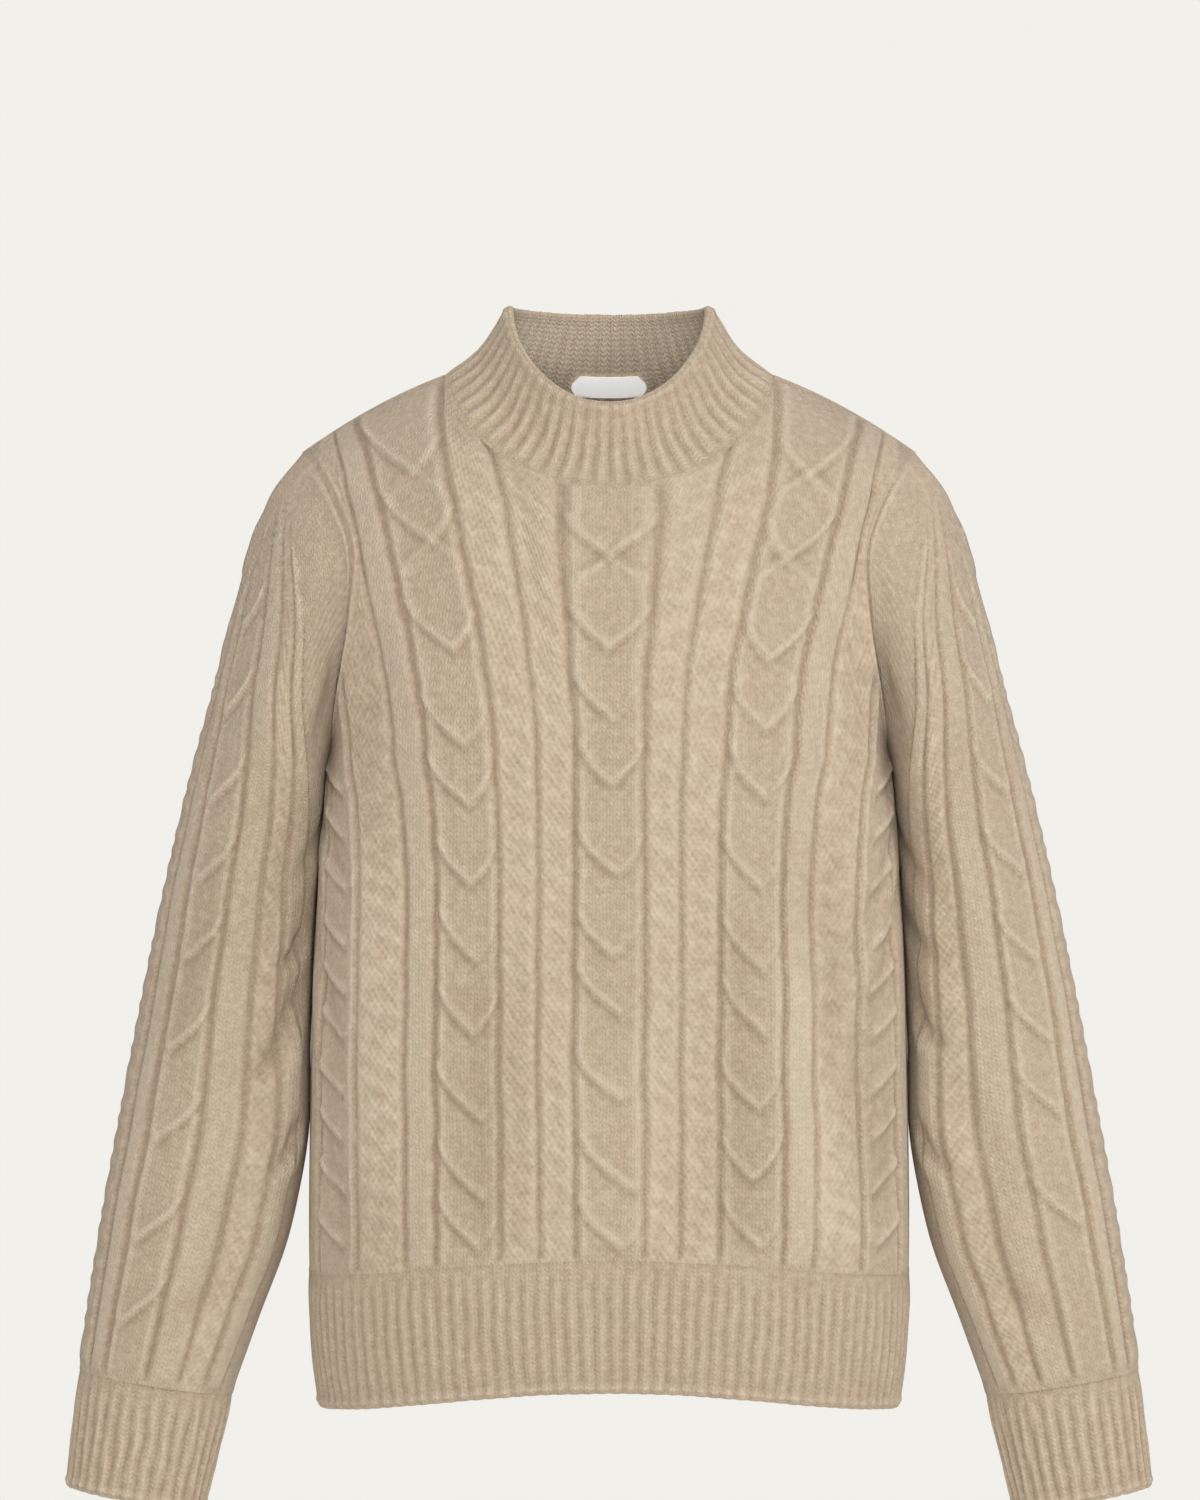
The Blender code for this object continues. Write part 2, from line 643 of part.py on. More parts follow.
def middle_of(ring):
    return sum(ring, Vector()) / len(ring)


def sleeve(name, side):
    """A sleeve from the armhole seam to the cuff seam. side is 1 for the wearer's left arm."""
    columns = sleeve_columns()
    front, back = PANEL_ROWS["front"][1], PANEL_ROWS["back"][1]
    seam_places = [-1 + k / front for k in range(front)] + [k / back for k in range(back)]
    downs = [i / SLEEVE_RINGS for i in range(SLEEVE_RINGS + 1)]
    rings = [sleeve_ring(down, columns) for down in downs]
    normals = ring_normals(rings, middle_of)
    length = sum(
        (tube_point(read_table(SLEEVE, b), 0) - tube_point(read_table(SLEEVE, a), 0)).length
        for a, b in zip(downs, downs[1:])
    )
    outer, inner = [], []
    for i, ring in enumerate(rings):
        if i == 0:
            seam = [armhole_point(place) for place in seam_places]
            seam_normals = [armhole_normal(-1 if place < 0 else 1, 1 - abs(place)) for place in seam_places]
            outer.append(seam)
            inner.append([p - n * WALL for p, n in zip(seam, seam_normals)])
            continue
        fade = smooth_step(*CAP_FADE, downs[i]) * (1 - smooth_step(*CUFF_FADE, downs[i]))
        outer_ring, inner_ring = [], []
        for point, normal, place in zip(ring, normals[i], columns):
            up = length * (1 - downs[i])
            height = relief(SLEEVE_BANDS, abs(place) * 180, up, SLEEVE_PITCH, SLEEVE_STRAND_HALF_WIDTH)
            base = point + normal * fold_height(SLEEVE_FOLDS, place, point.z) * fade
            outer_ring.append(base + normal * height * fade)
            inner_ring.append(base - normal * WALL)
        outer.append(outer_ring)
        inner.append(inner_ring)
    kept = [0] + list(range(1, SLEEVE_RINGS, INNER_STEP)) + [SLEEVE_RINGS]
    inner = [inner[i] if i == 0 else inner[i][::2] for i in kept]
    return ring_wall(name, outer, inner, side)


def rib_tube(rings, ribs, height, thin_inner, both_sides=False):
    """Outer and inner rings of a ribbed tube. rings has two points for each rib: a crest and a groove."""
    normals = ring_normals(rings, middle_of)
    outer, inner = [], []
    for ring, line in zip(rings, normals):
        outer.append([p + n * (height if k % 2 else 0.0) for k, (p, n) in enumerate(zip(ring, line))])
        lift = [0.0 if k % 2 or not both_sides else height * INNER_RIB_SHARE for k in range(2 * ribs)]
        whole = [p - n * (WALL + extra) for p, n, extra in zip(ring, line, lift)]
        inner.append(whole[::thin_inner])
    return outer, inner


def cuff(name, side):
    """The ribbed cuff below a sleeve."""
    places = [-1 + k / CUFF_RIBS for k in range(2 * CUFF_RIBS)]
    rings = [[tube_point(read_table(CUFF, down), place) for place in places] for down in (0.0, 0.5, 1.0)]
    outer, inner = rib_tube(rings, CUFF_RIBS, CUFF_RIB_HEIGHT, 3)
    return ring_wall(name, outer, inner[::2], side)


# ---------------------------------------------------------------- hem and collar
def hem():
    """The ribbed band round the hem."""
    count = 2 * HEM_RIBS
    rings = []
    for down in (0.0, 0.5, 1.0):
        ring = []
        for k in range(count):
            turn = 4 * k / count  # quarters, from the wearer's left side by way of the front
            quarter = int(turn)
            share = turn - quarter
            share = 1 - share if quarter % 2 == 0 else share
            facing = -1 if quarter < 2 else 1
            seam = hem_level(share, facing, HEM_SEAM_SIDE_Z, HEM_SEAM_FRONT_RISE) - SEAM_GAP / 2
            edge = hem_level(share, facing, HEM_EDGE_SIDE_Z, HEM_EDGE_FRONT_RISE)
            point = torso_point(facing, share, seam + (edge - seam) * down)
            point.x *= 1 if quarter in (0, 3) else -1
            ring.append(point)
        rings.append(ring)
    outer, inner = rib_tube(rings, HEM_RIBS, HEM_RIB_HEIGHT, 4)
    return ring_wall("hem_rib", outer, inner[::2], 1)


def collar_point(turn, up):
    """A point of the collar between its seam and its rim."""
    low, high = ring_point(NECK_SEAM, turn), ring_point(COLLAR_RIM, turn)
    outward = Vector((math.sin(2 * math.pi * turn), -math.cos(2 * math.pi * turn), 0.0))
    roll = RIM_ROLL * smooth_step(RIM_ROLL_FROM, 1.0, up)
    return low.lerp(high, up) + outward * (roll - COLLAR_HOLLOW * (1 - up) * math.sin(math.pi * up))


def collar():
    """The ribbed mock neck, open at its rim."""
    count = 2 * COLLAR_RIBS
    rings = [[collar_point(k / count, up) for k in range(count)] for up in COLLAR_LEVELS]
    rings[0] = [p + Vector((0, 0, SEAM_GAP)) for p in rings[0]]
    outer, inner = rib_tube(rings, COLLAR_RIBS, COLLAR_RIB_HEIGHT, 1, both_sides=True)
    for k in range(count):
        normal = neck_seam_normal(k / count)
        outer[0][k] = rings[0][k] + normal * (COLLAR_RIB_HEIGHT * INNER_RIB_SHARE if k % 2 else 0.0)
        inner[0][k] = rings[0][k] - normal * WALL
    return ring_wall("collar", outer, [inner[0], inner[1], inner[3]], 1)


def neck_label():
    """The blank woven label inside the back of the collar, just above its seam."""
    inside = WALL + COLLAR_RIB_HEIGHT * INNER_RIB_SHARE + SEAM_GAP
    half_turn = LABEL_WIDTH / 2 / (2 * math.pi * LABEL_ROUND)
    slope = collar_point(0.5, 1.0) - collar_point(0.5, 0.0)
    through = Vector((1, 0, 0)).cross(slope).normalized()
    if through.y > 0:
        through.negate()
    front, back = [], []
    for i in range(LABEL_ROWS + 1):
        up = (LABEL_ABOVE_SEAM + LABEL_HEIGHT * i / LABEL_ROWS) / slope.length
        front_line, back_line = [], []
        for j in range(LABEL_COLUMNS + 1):
            turn = 0.5 + half_turn * (1 - 2 * j / LABEL_COLUMNS)
            point = collar_point(turn, up)
            normal = (through - Vector((point.x / LABEL_ROUND, 0, 0))).normalized()
            back_line.append(point + normal * inside)
            front_line.append(point + normal * (inside + LABEL_WALL))
        front.append(front_line)
        back.append(back_line)
    return sheet_wall("neck_label", front, back, 1)


# ---------------------------------------------------------------- meshes
def stitch(vertices, faces, one, other, closed=False):
    """Joins two rows of vertices that run side by side, whatever their counts, by the shorter crossing."""
    one = one + one[:1] if closed else one
    other = other + other[:1] if closed else other
    i = j = 0
    while i < len(one) - 1 or j < len(other) - 1:
        if i == len(one) - 1:
            forward = False
        elif j == len(other) - 1:
            forward = True
        else:
            ahead = (vertices[one[i + 1]] - vertices[other[j]]).length
            forward = ahead <= (vertices[one[i]] - vertices[other[j + 1]]).length
        if forward:
            faces.append((one[i], one[i + 1], other[j]))
            i += 1
        else:
            faces.append((one[i], other[j + 1], other[j]))
            j += 1


def stitch_halves(vertices, faces, one, other):
    """Joins two unequal rows from their middles outwards, so that the left half matches the right."""
    m, n = len(one) // 2, len(other) // 2
    stitch(vertices, faces, one[m:], other[n:])
    stitch(vertices, faces, one[m::-1], other[n::-1])


def add_lines(vertices, lines):
    """Adds rows of points and gives their numbers."""
    numbered = []
    for line in lines:
        numbered.append(list(range(len(vertices), len(vertices) + len(line))))
        vertices.extend(line)
    return numbered


def join_lines(vertices, faces, lines, closed=False):
    """Fills the strips between rows that follow each other."""
    for low, high in zip(lines, lines[1:]):
        if len(low) != len(high):
            if closed:
                stitch(vertices, faces, low, high, closed)
            else:
                stitch_halves(vertices, faces, low, high)
            continue
        for j in range(len(low) - (not closed)):
            k = (j + 1) % len(low)
            faces.append((low[j], low[k], high[k], high[j]))


def kept_lines(count, step):
    """Every step-th line between the edges, with the first and the last of them."""
    lines = list(range(1, count - 1, step))
    return lines if lines[-1] == count - 2 else lines + [count - 2]


def sheet_wall(name, outer, inner, step=INNER_STEP):
    """A wall with four edges. Inside its edges, the inner skin keeps every step-th row and column."""
    vertices, faces = [], []
    out = add_lines(vertices, outer)
    join_lines(vertices, faces, out)
    rows, columns = kept_lines(len(inner), step), kept_lines(len(inner[0]), step)
    core = add_lines(vertices, [[inner[i][j] for j in columns] for i in rows])
    join_lines(vertices, faces, core)
    low, high = add_lines(vertices, [inner[0], inner[-1]])
    sides = add_lines(vertices, [[line[0] for line in inner[1:-1]], [line[-1] for line in inner[1:-1]]])
    first = [low[0]] + sides[0] + [high[0]]
    last = [low[-1]] + sides[1] + [high[-1]]
    for edge, core_edge, rim, join in (
        (low, core[0], out[0], stitch_halves),
        (high, core[-1], out[-1], stitch_halves),
        (first, [line[0] for line in core], [line[0] for line in out], stitch),
        (last, [line[-1] for line in core], [line[-1] for line in out], stitch),
    ):
        join(vertices, faces, edge, core_edge)
        join_lines(vertices, faces, [edge, rim])
    return make_object(name, vertices, faces)


def ring_wall(name, outer, inner, side):
    """A tube's wall: outer rings, inner rings and the two open ends. side -1 mirrors it."""
    vertices, faces = [], []
    out, ins = add_lines(vertices, outer), add_lines(vertices, inner)
    join_lines(vertices, faces, out, closed=True)
    join_lines(vertices, faces, ins, closed=True)
    join_lines(vertices, faces, [out[0], ins[0]], closed=True)
    join_lines(vertices, faces, [out[-1], ins[-1]], closed=True)
    return make_object(name, [Vector((side * v.x, v.y, v.z)) for v in vertices], faces)


def make_object(name, vertices, faces):
    mesh = bpy.data.meshes.new(name)
    mesh.from_pydata([v * MM for v in vertices], [], faces)
    shape = bmesh.new()
    shape.from_mesh(mesh)
    bmesh.ops.triangulate(shape, faces=[f for f in shape.faces if len(f.verts) > 3])
    bmesh.ops.recalc_face_normals(shape, faces=shape.faces)
    shape.to_mesh(mesh)
    shape.free()
    mesh.shade_smooth()
    return bpy.data.objects.new(name, mesh)


def finish(thing, collection, colour, roughness):
    """Puts a piece in the collection with a material of its own."""
    material = bpy.data.materials.new(thing.name)
    material.use_nodes = True
    shader = material.node_tree.nodes["Principled BSDF"]
    shader.inputs["Base Color"].default_value = colour
    shader.inputs["Roughness"].default_value = roughness
    shader.inputs["Metallic"].default_value = 0.0
    thing.data.materials.append(material)
    collection.objects.link(thing)


def build():
    for thing in list(bpy.data.objects):
        bpy.data.objects.remove(thing, do_unlink=True)
    sweater = bpy.data.collections.new("cable_knit_sweater")
    bpy.context.scene.collection.children.link(sweater)
    knit = (KNIT_COLOUR, KNIT_ROUGHNESS)
    rib = (RIB_COLOUR, KNIT_ROUGHNESS)
    finish(panel("front", -1), sweater, *knit)
    finish(panel("back", 1), sweater, *knit)
    for side, hand in ((1, "left"), (-1, "right")):
        finish(sleeve(f"sleeve_{hand}", side), sweater, *knit)
        finish(cuff(f"cuff_{hand}", side), sweater, *rib)
    finish(hem(), sweater, *rib)
    finish(collar(), sweater, *rib)
    finish(neck_label(), sweater, LABEL_COLOUR, LABEL_ROUGHNESS)


build()
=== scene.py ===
# %% [markdown]
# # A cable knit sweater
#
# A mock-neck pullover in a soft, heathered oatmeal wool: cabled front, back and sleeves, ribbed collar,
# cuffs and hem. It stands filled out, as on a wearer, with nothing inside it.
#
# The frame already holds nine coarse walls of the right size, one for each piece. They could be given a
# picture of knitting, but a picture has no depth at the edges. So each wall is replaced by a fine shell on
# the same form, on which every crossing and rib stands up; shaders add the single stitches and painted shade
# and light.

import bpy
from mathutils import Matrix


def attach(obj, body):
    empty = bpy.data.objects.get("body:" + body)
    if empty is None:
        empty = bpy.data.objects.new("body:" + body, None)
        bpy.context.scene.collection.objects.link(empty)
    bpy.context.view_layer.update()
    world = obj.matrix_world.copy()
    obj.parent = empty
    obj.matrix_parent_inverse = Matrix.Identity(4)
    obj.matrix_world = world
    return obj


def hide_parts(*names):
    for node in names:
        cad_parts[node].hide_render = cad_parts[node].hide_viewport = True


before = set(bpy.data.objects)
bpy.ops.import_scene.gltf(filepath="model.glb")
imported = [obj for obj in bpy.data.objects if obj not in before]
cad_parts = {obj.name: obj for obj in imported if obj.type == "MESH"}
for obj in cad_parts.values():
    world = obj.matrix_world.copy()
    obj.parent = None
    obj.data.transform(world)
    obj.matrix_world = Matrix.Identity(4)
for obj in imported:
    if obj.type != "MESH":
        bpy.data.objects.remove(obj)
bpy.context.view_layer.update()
print("frame nodes:", ", ".join(sorted(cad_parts)))

# %% Tools for the lesson
import math
from collections import namedtuple

import bpy
import numpy as np
from mathutils import Vector

MM = 0.001  # every table below is in millimetres

# %% [markdown]
# ## The light and the camera
#
# Most of the light comes from one large soft box behind the camera. It reaches into the collar and between
# the sleeves and the body, where light from above would leave black gaps. Light from straight ahead
# flattens the knitting, so two weaker boxes graze it from the left and the right, which brings its ridges
# out again.

# %% Camera
PICTURE_HEIGHT_MM = 930.0  # what the picture takes in at the middle of the garment
CAMERA_DISTANCE = 3.2
CAMERA_X, CAMERA_Z = -0.0056, -0.227
SENSOR_MM = 36.0

eye = bpy.data.cameras.new("eye")
eye.sensor_width = SENSOR_MM
eye.lens = SENSOR_MM * CAMERA_DISTANCE / (PICTURE_HEIGHT_MM * MM)
camera = bpy.data.objects.new("camera", eye)
camera.location = (CAMERA_X, -CAMERA_DISTANCE, CAMERA_Z)
camera.rotation_euler = (math.radians(90.0), 0.0, 0.0)
bpy.context.scene.collection.objects.link(camera)
bpy.context.scene.camera = camera
print(f"lens {eye.lens:.1f} mm at {CAMERA_DISTANCE} m")

# %% Lamps and room
Lamp = namedtuple("Lamp", "name place aim size watts")
LAMPS = (
    Lamp("soft_box_left", (-2.4, -1.7, 0.6), (0, 0, -0.3), 1.4, 13.0),
    Lamp("soft_box_right", (2.4, -1.6, 0.8), (0, 0, -0.3), 1.4, 35.0),
    Lamp("soft_box_front", (0.1, -3.7, 0.5), (0, 0, -0.2), 1.8, 64.0),
    Lamp("soft_box_over", (0.1, -1.3, 2.0), (0, 0, -0.1), 1.6, 11.0),
    Lamp("soft_box_behind", (0.0, 2.6, 1.4), (0, 0, -0.2), 1.8, 50.0),
)
ROOM_COLOUR = (0.879, 0.871, 0.831, 1.0)
ROOM_FILL = 0.36

for lamp in LAMPS:
    light = bpy.data.lights.new(lamp.name, "AREA")
    light.size = lamp.size
    light.energy = lamp.watts
    thing = bpy.data.objects.new(lamp.name, light)
    thing.location = lamp.place
    thing.rotation_euler = (Vector(lamp.aim) - Vector(lamp.place)).to_track_quat("-Z", "Y").to_euler()
    bpy.context.scene.collection.objects.link(thing)

room = bpy.data.worlds.new("room")
room.use_nodes = True
bpy.context.scene.world = room
tree = room.node_tree
seen, fill = tree.nodes["Background"], tree.nodes.new("ShaderNodeBackground")
seen.inputs["Color"].default_value = ROOM_COLOUR
fill.inputs["Color"].default_value = ROOM_COLOUR
fill.inputs["Strength"].default_value = ROOM_FILL
path, blend = tree.nodes.new("ShaderNodeLightPath"), tree.nodes.new("ShaderNodeMixShader")
tree.links.new(path.outputs["Is Camera Ray"], blend.inputs["Fac"])
tree.links.new(fill.outputs["Background"], blend.inputs[1])
tree.links.new(seen.outputs["Background"], blend.inputs[2])
tree.links.new(blend.outputs["Shader"], tree.nodes["World Output"].inputs["Surface"])
bpy.context.scene.view_settings.view_transform = "Standard"
print(len(LAMPS), "soft boxes")

# %% Floor
FLOOR_Z, FLOOR_RADIUS, FLOOR_SIDES = -1.30, 3.6, 96

rim = [2 * math.pi * k / FLOOR_SIDES for k in range(FLOOR_SIDES)]
mesh = bpy.data.meshes.new("floor")
mesh.from_pydata(
    [(FLOOR_RADIUS * math.cos(a), FLOOR_RADIUS * math.sin(a), FLOOR_Z) for a in rim],
    [],
    [tuple(range(FLOOR_SIDES))],
)
floor = bpy.data.objects.new("floor", mesh)
bpy.context.scene.collection.objects.link(floor)
paper = bpy.data.materials.new("pale_paper")
paper.use_nodes = True
paper.node_tree.nodes["Principled BSDF"].inputs["Base Color"].default_value = ROOM_COLOUR
paper.node_tree.nodes["Principled BSDF"].inputs["Roughness"].default_value = 0.9
mesh.materials.append(paper)

# %% [markdown]
# ## The cut
#
# A knitter works from a table of widths and lengths, and so does this script: the same tables that give the
# frame's walls their form are read here, only at far more places. Each table has a name for every column,
# and a smooth curve runs through its rows.

# %% Driving sizes
WALL = 3.2  # thickness of the plain knit
SEAM_GAP = 0.4
UNDERARM_Z = -230.0
QUARTER_ROUND = 237.0  # a quarter of the chest, along the knit
HEM_SEAM_SIDE_Z, HEM_SEAM_FRONT_RISE = -549.0, 16.0
HEM_EDGE_SIDE_Z, HEM_EDGE_FRONT_RISE = -630.0, 19.0
SHOULDER_TIP_X, SHOULDER_FALL, SHOULDER_BEND = 190.0, 33.0, 15.0

Section = namedtuple("Section", "height half_width front_depth back_depth squareness")
TORSO = (
    Section(-632, 178.5, 103, 96, 2.50),
    Section(-600, 182.5, 107, 99, 2.55),
    Section(-555, 185.0, 111, 101, 2.60),
    Section(-505, 185.5, 112, 101, 2.65),
    Section(-382, 183.5, 110, 99, 2.70),
    Section(-320, 180.5, 109, 97, 2.70),
    Section(-260, 175.5, 109, 96, 2.62),
    Section(-230, 172.0, 110, 96, 2.55),
)
NeckRing = namedtuple("NeckRing", "half_width front_depth back_depth side_z front_drop back_drop sag")
NECK_SEAM = NeckRing(102.0, 85.0, 76.0, 5.0, 73.0, 13.0, 1.2)
COLLAR_RIM = NeckRing(61.5, 62.0, 46.0, 47.0, 64.0, 2.0, 1.15)
FRONT, BACK = -1, 1
ArmholeRow = namedtuple("ArmholeRow", "up reach x y z")
ARMHOLE = {
    FRONT: (
        ArmholeRow(0.00, 1.00, 172.0, 0.0, -230.0),
        ArmholeRow(0.10, 0.88, 170.5, -25.0, -219.0),
        ArmholeRow(0.23, 0.79, 166.5, -45.5, -190.0),
        ArmholeRow(0.40, 0.68, 160.0, -58.0, -148.0),
        ArmholeRow(0.59, 0.62, 158.0, -54.0, -104.0),
        ArmholeRow(0.77, 0.67, 171.0, -34.0, -69.0),
        ArmholeRow(0.92, 0.84, 183.0, -13.5, -50.0),
        ArmholeRow(1.00, 1.00, 190.0, 0.0, -43.0),
    ),
    BACK: (
        ArmholeRow(0.00, 1.00, 172.0, 0.0, -230.0),
        ArmholeRow(0.10, 0.88, 170.0, 25.0, -219.0),
        ArmholeRow(0.23, 0.77, 164.5, 47.0, -190.0),
        ArmholeRow(0.39, 0.68, 158.5, 56.5, -148.0),
        ArmholeRow(0.56, 0.66, 162.0, 53.5, -104.0),
        ArmholeRow(0.72, 0.72, 173.0, 38.5, -69.0),
        ArmholeRow(0.88, 0.87, 184.0, 18.5, -50.0),
        ArmholeRow(1.00, 1.00, 190.0, 0.0, -43.0),
    ),
}
SleeveRow = namedtuple("SleeveRow", "down out_x out_z in_x in_z half_depth y squared")
SLEEVE = (
    SleeveRow(0.00, 190.0, -43.0, 172.0, -230.0, 58.0, 0.0, 1.0),
    SleeveRow(0.06, 211.0, -71.0, 173.4, -236.0, 61.0, 1.0, 1.0),
    SleeveRow(0.17, 231.5, -134.0, 175.6, -247.0, 64.0, 1.0, 1.0),
    SleeveRow(0.28, 246.5, -196.0, 177.4, -264.0, 64.0, 1.0, 1.0),
    SleeveRow(0.39, 262.0, -258.0, 180.2, -294.0, 62.0, 1.0, 1.0),
    SleeveRow(0.50, 276.0, -320.0, 183.4, -346.0, 58.0, 0.0, 1.0),
    SleeveRow(0.61, 288.5, -382.0, 185.7, -406.0, 53.0, -2.0, 1.0),
    SleeveRow(0.72, 300.0, -444.0, 187.0, -466.0, 48.0, -4.0, 1.0),
    SleeveRow(0.83, 311.0, -506.0, 198.0, -527.0, 44.0, -7.0, 0.8),
    SleeveRow(0.92, 319.5, -560.0, 216.5, -578.0, 38.0, -9.5, 0.4),
    SleeveRow(1.00, 326.5, -609.0, 233.0, -624.0, 31.0, -11.0, 0.0),
)
CUFF = (
    SleeveRow(0.00, 326.6, -609.4, 233.1, -624.4, 30.0, -11.0, 0.0),
    SleeveRow(0.55, 330.5, -650.0, 243.5, -665.0, 24.5, -12.0, 0.0),
    SleeveRow(1.00, 334.0, -679.0, 250.5, -694.0, 22.5, -12.5, 0.0),
)
INNER_SQUARENESS = 3.0  # of a sleeve's inner half, which lies flat against the body
CAP_SHARE = 0.42
Spread = namedtuple("Spread", "height factor")
COLUMN_SPREAD = (Spread(-640, 0.95), Spread(-330, 0.95), Spread(-260, 1.03), Spread(-230, 1.12))
FIXED_EDGE = 123.0  # the columns within this stay upright; those outside it run out at the armhole
NECK_SHARE, NECK_CROWDING = 0.30, 1.4
ColumnEnd = namedtuple("ColumnEnd", "across along_seam")
SHOULDER_ENDS = (
    ColumnEnd(0.00, 0.00),
    ColumnEnd(0.12, 0.32),
    ColumnEnd(0.25, 0.60),
    ColumnEnd(0.38, 0.77),
    ColumnEnd(0.70, 0.90),
    ColumnEnd(1.00, 1.00),
)
Lean = namedtuple("Lean", "centre shoulder")
LEAN = {FRONT: Lean(24.0, 58.0), BACK: Lean(27.0, 76.0)}
CORNER_EASE, CORNER_SAMPLES, CORNER_SHARPNESS = 0.16, 7, 8
SEAM_PULL = 3
NeckFacing = namedtuple("NeckFacing", "sideways forwards up up_sides")
NECK_FACING = NeckFacing(0.62, 0.92, 0.38, 0.42)
ArmholeFacing = namedtuple("ArmholeFacing", "out out_top out_under forwards up_top down_under")
ARMHOLE_FACING = ArmholeFacing(0.35, 0.10, 0.45, 0.94, 0.9, 0.6)
ARMHOLE_TURN = 0.8  # below 1 the facing turns faster near the underarm


# %% Reading a table, and small curves
def smooth_step(low, high, value):
    """Goes from 0 at low to 1 at high, flat at both ends."""
    share = np.clip((value - low) / (high - low), 0.0, 1.0)
    return share * share * (3 - 2 * share)


def hermite(start, end, start_slope, end_slope, s):
    """The cubic from start to end with these slopes."""
    return (
        start * (1 + 2 * s) * (1 - s) ** 2
        + end * s * s * (3 - 2 * s)
        + start_slope * s * (1 - s) ** 2
        - end_slope * s * s * (1 - s)
    )


def read(rows, value):
    """A table's columns at many values of its first one, on smooth curves through its rows."""
    table = np.array(rows, float)
    if table[0, 0] > table[-1, 0]:
        table = table[::-1]
    value = np.clip(np.asarray(value, float), table[0, 0], table[-1, 0])
    i = np.clip(np.searchsorted(table[:, 0], value, side="right") - 1, 0, len(table) - 2)
    before, a, b, after = (table[np.clip(i + k, 0, len(table) - 1)] for k in (-1, 0, 1, 2))
    span = b[..., :1] - a[..., :1]
    s = (value[..., None] - a[..., :1]) / span
    slope_a = (b - before) / (b[..., :1] - before[..., :1]) * span
    slope_b = (after - a) / (after[..., :1] - a[..., :1]) * span
    return type(rows[0])(*np.moveaxis(hermite(a, b, slope_a, slope_b, s), -1, 0))


def points(x, y, z):
    """Stacks three coordinates into points."""
    return np.stack(np.broadcast_arrays(x, y, z), -1).astype(float)


def unit(vectors):
    return vectors / np.maximum(np.linalg.norm(vectors, axis=-1, keepdims=True), 1e-9)


def ridge(distance, half_width):
    """A soft ridge: 1 on its crest."""
    return np.exp(-((distance / half_width) ** 2))


def wander(place, reach, seed):
    """A slow wander between -1 and 1, the same on every run."""
    turns = np.random.default_rng(seed).uniform(0, 2 * math.pi, 3)
    waves = zip((1, 0.61, 0.37), turns)
    return sum(np.sin(2 * math.pi * place / (reach * k) + turn) for k, turn in waves) / 3


# %% [markdown]
# ## The form under the knit
#
# The body is a squarish oval at each level. Above the underarm every knit column bends in towards the neck
# or the shoulder, on a curve that starts upright and ends leaning over. The sleeve is a stack of slanted
# ovals whose first one is the armhole itself, and whose inner half is squared, since it lies flat against
# the body.

# %% Where the mesh is fine
# The space between mesh columns: beside a groove, on a cable, and elsewhere.
GROOVE_STEP, CABLE_STEP, PLAIN_STEP = 1.0, 1.6, 2.2
GROOVE_REACH = 4.5


def mesh_places(grooves, cables, end, count):
    """Mesh columns from 0 to end in count steps, packed closest beside the grooves."""
    place = np.linspace(0.0, end, 4000)
    step = np.full_like(place, PLAIN_STEP)
    for low, high in cables:
        step[(place >= low) & (place <= high)] = CABLE_STEP
    for groove in grooves:
        step[np.abs(place - groove) < GROOVE_REACH] = GROOVE_STEP
    passed = np.cumsum(1 / step)
    return np.interp(np.linspace(passed[0], passed[-1], count + 1), passed, place)


# %% The body's surface
def arc_shares(half_width, depth, squareness, samples=400):
    """Where a quarter of a squarish oval reaches each share of its length."""
    angle = np.linspace(0, math.pi / 2, samples + 1)
    x = half_width * np.sin(angle) ** (2 / squareness)
    y = depth * np.clip(np.cos(angle), 0, 1) ** (2 / squareness)
    lengths = np.concatenate([[0.0], np.cumsum(np.hypot(np.diff(x), np.diff(y)))])
    return lengths / lengths[-1], angle


TORSO_ARC = arc_shares(TORSO[-1].half_width, TORSO[-1].front_depth, TORSO[-1].squareness)
SLEEVE_ARC = arc_shares(1.0, 1.0, INNER_SQUARENESS)


def torso_point(facing, share, z):
    """Points of the body below the underarm."""
    section = read(TORSO, z)
    angle = np.interp(share, *TORSO_ARC)
    depth = section.front_depth if facing == FRONT else section.back_depth
    power = 2 / section.squareness
    side = np.clip(np.cos(angle), 0, 1) ** power
    return points(section.half_width * np.sin(angle) ** power, facing * depth * side, z)


def hem_level(share, facing, side_z, front_rise):
    """The height of a hem line, which rides up towards the middle of the front."""
    return side_z + (front_rise * np.cos(math.pi / 2 * share) ** 2 if facing == FRONT else 0.0 * share)


def ring_point(ring, turn):
    """Points of a neck ring. turn is 0 in front, a quarter at the wearer's left, a half behind."""
    c = np.cos(2 * math.pi * turn)
    front, back = np.clip(c, 0, None), np.clip(-c, 0, None)
    y = -ring.front_depth * front + ring.back_depth * back
    z = ring.side_z - ring.front_drop * front**ring.sag - ring.back_drop * back**2
    return points(ring.half_width * np.sin(2 * math.pi * turn), y, z)


def top_point(facing, share):
    """Where a knit column ends: at the neck seam or at the shoulder seam."""
    quarter = 0.25 * (np.clip(share, 0, NECK_SHARE) / NECK_SHARE) ** NECK_CROWDING
    neck = ring_point(NECK_SEAM, quarter if facing == FRONT else 0.5 - quarter)
    along = read(SHOULDER_ENDS, np.clip((share - NECK_SHARE) / (1 - NECK_SHARE), 0, 1)).along_seam
    x = NECK_SEAM.half_width + along * (SHOULDER_TIP_X - NECK_SEAM.half_width)
    shoulder = points(x, 0.0, NECK_SEAM.side_z - SHOULDER_FALL * along - SHOULDER_BEND * along**2)
    return np.where((share <= NECK_SHARE)[..., None], neck, shoulder)


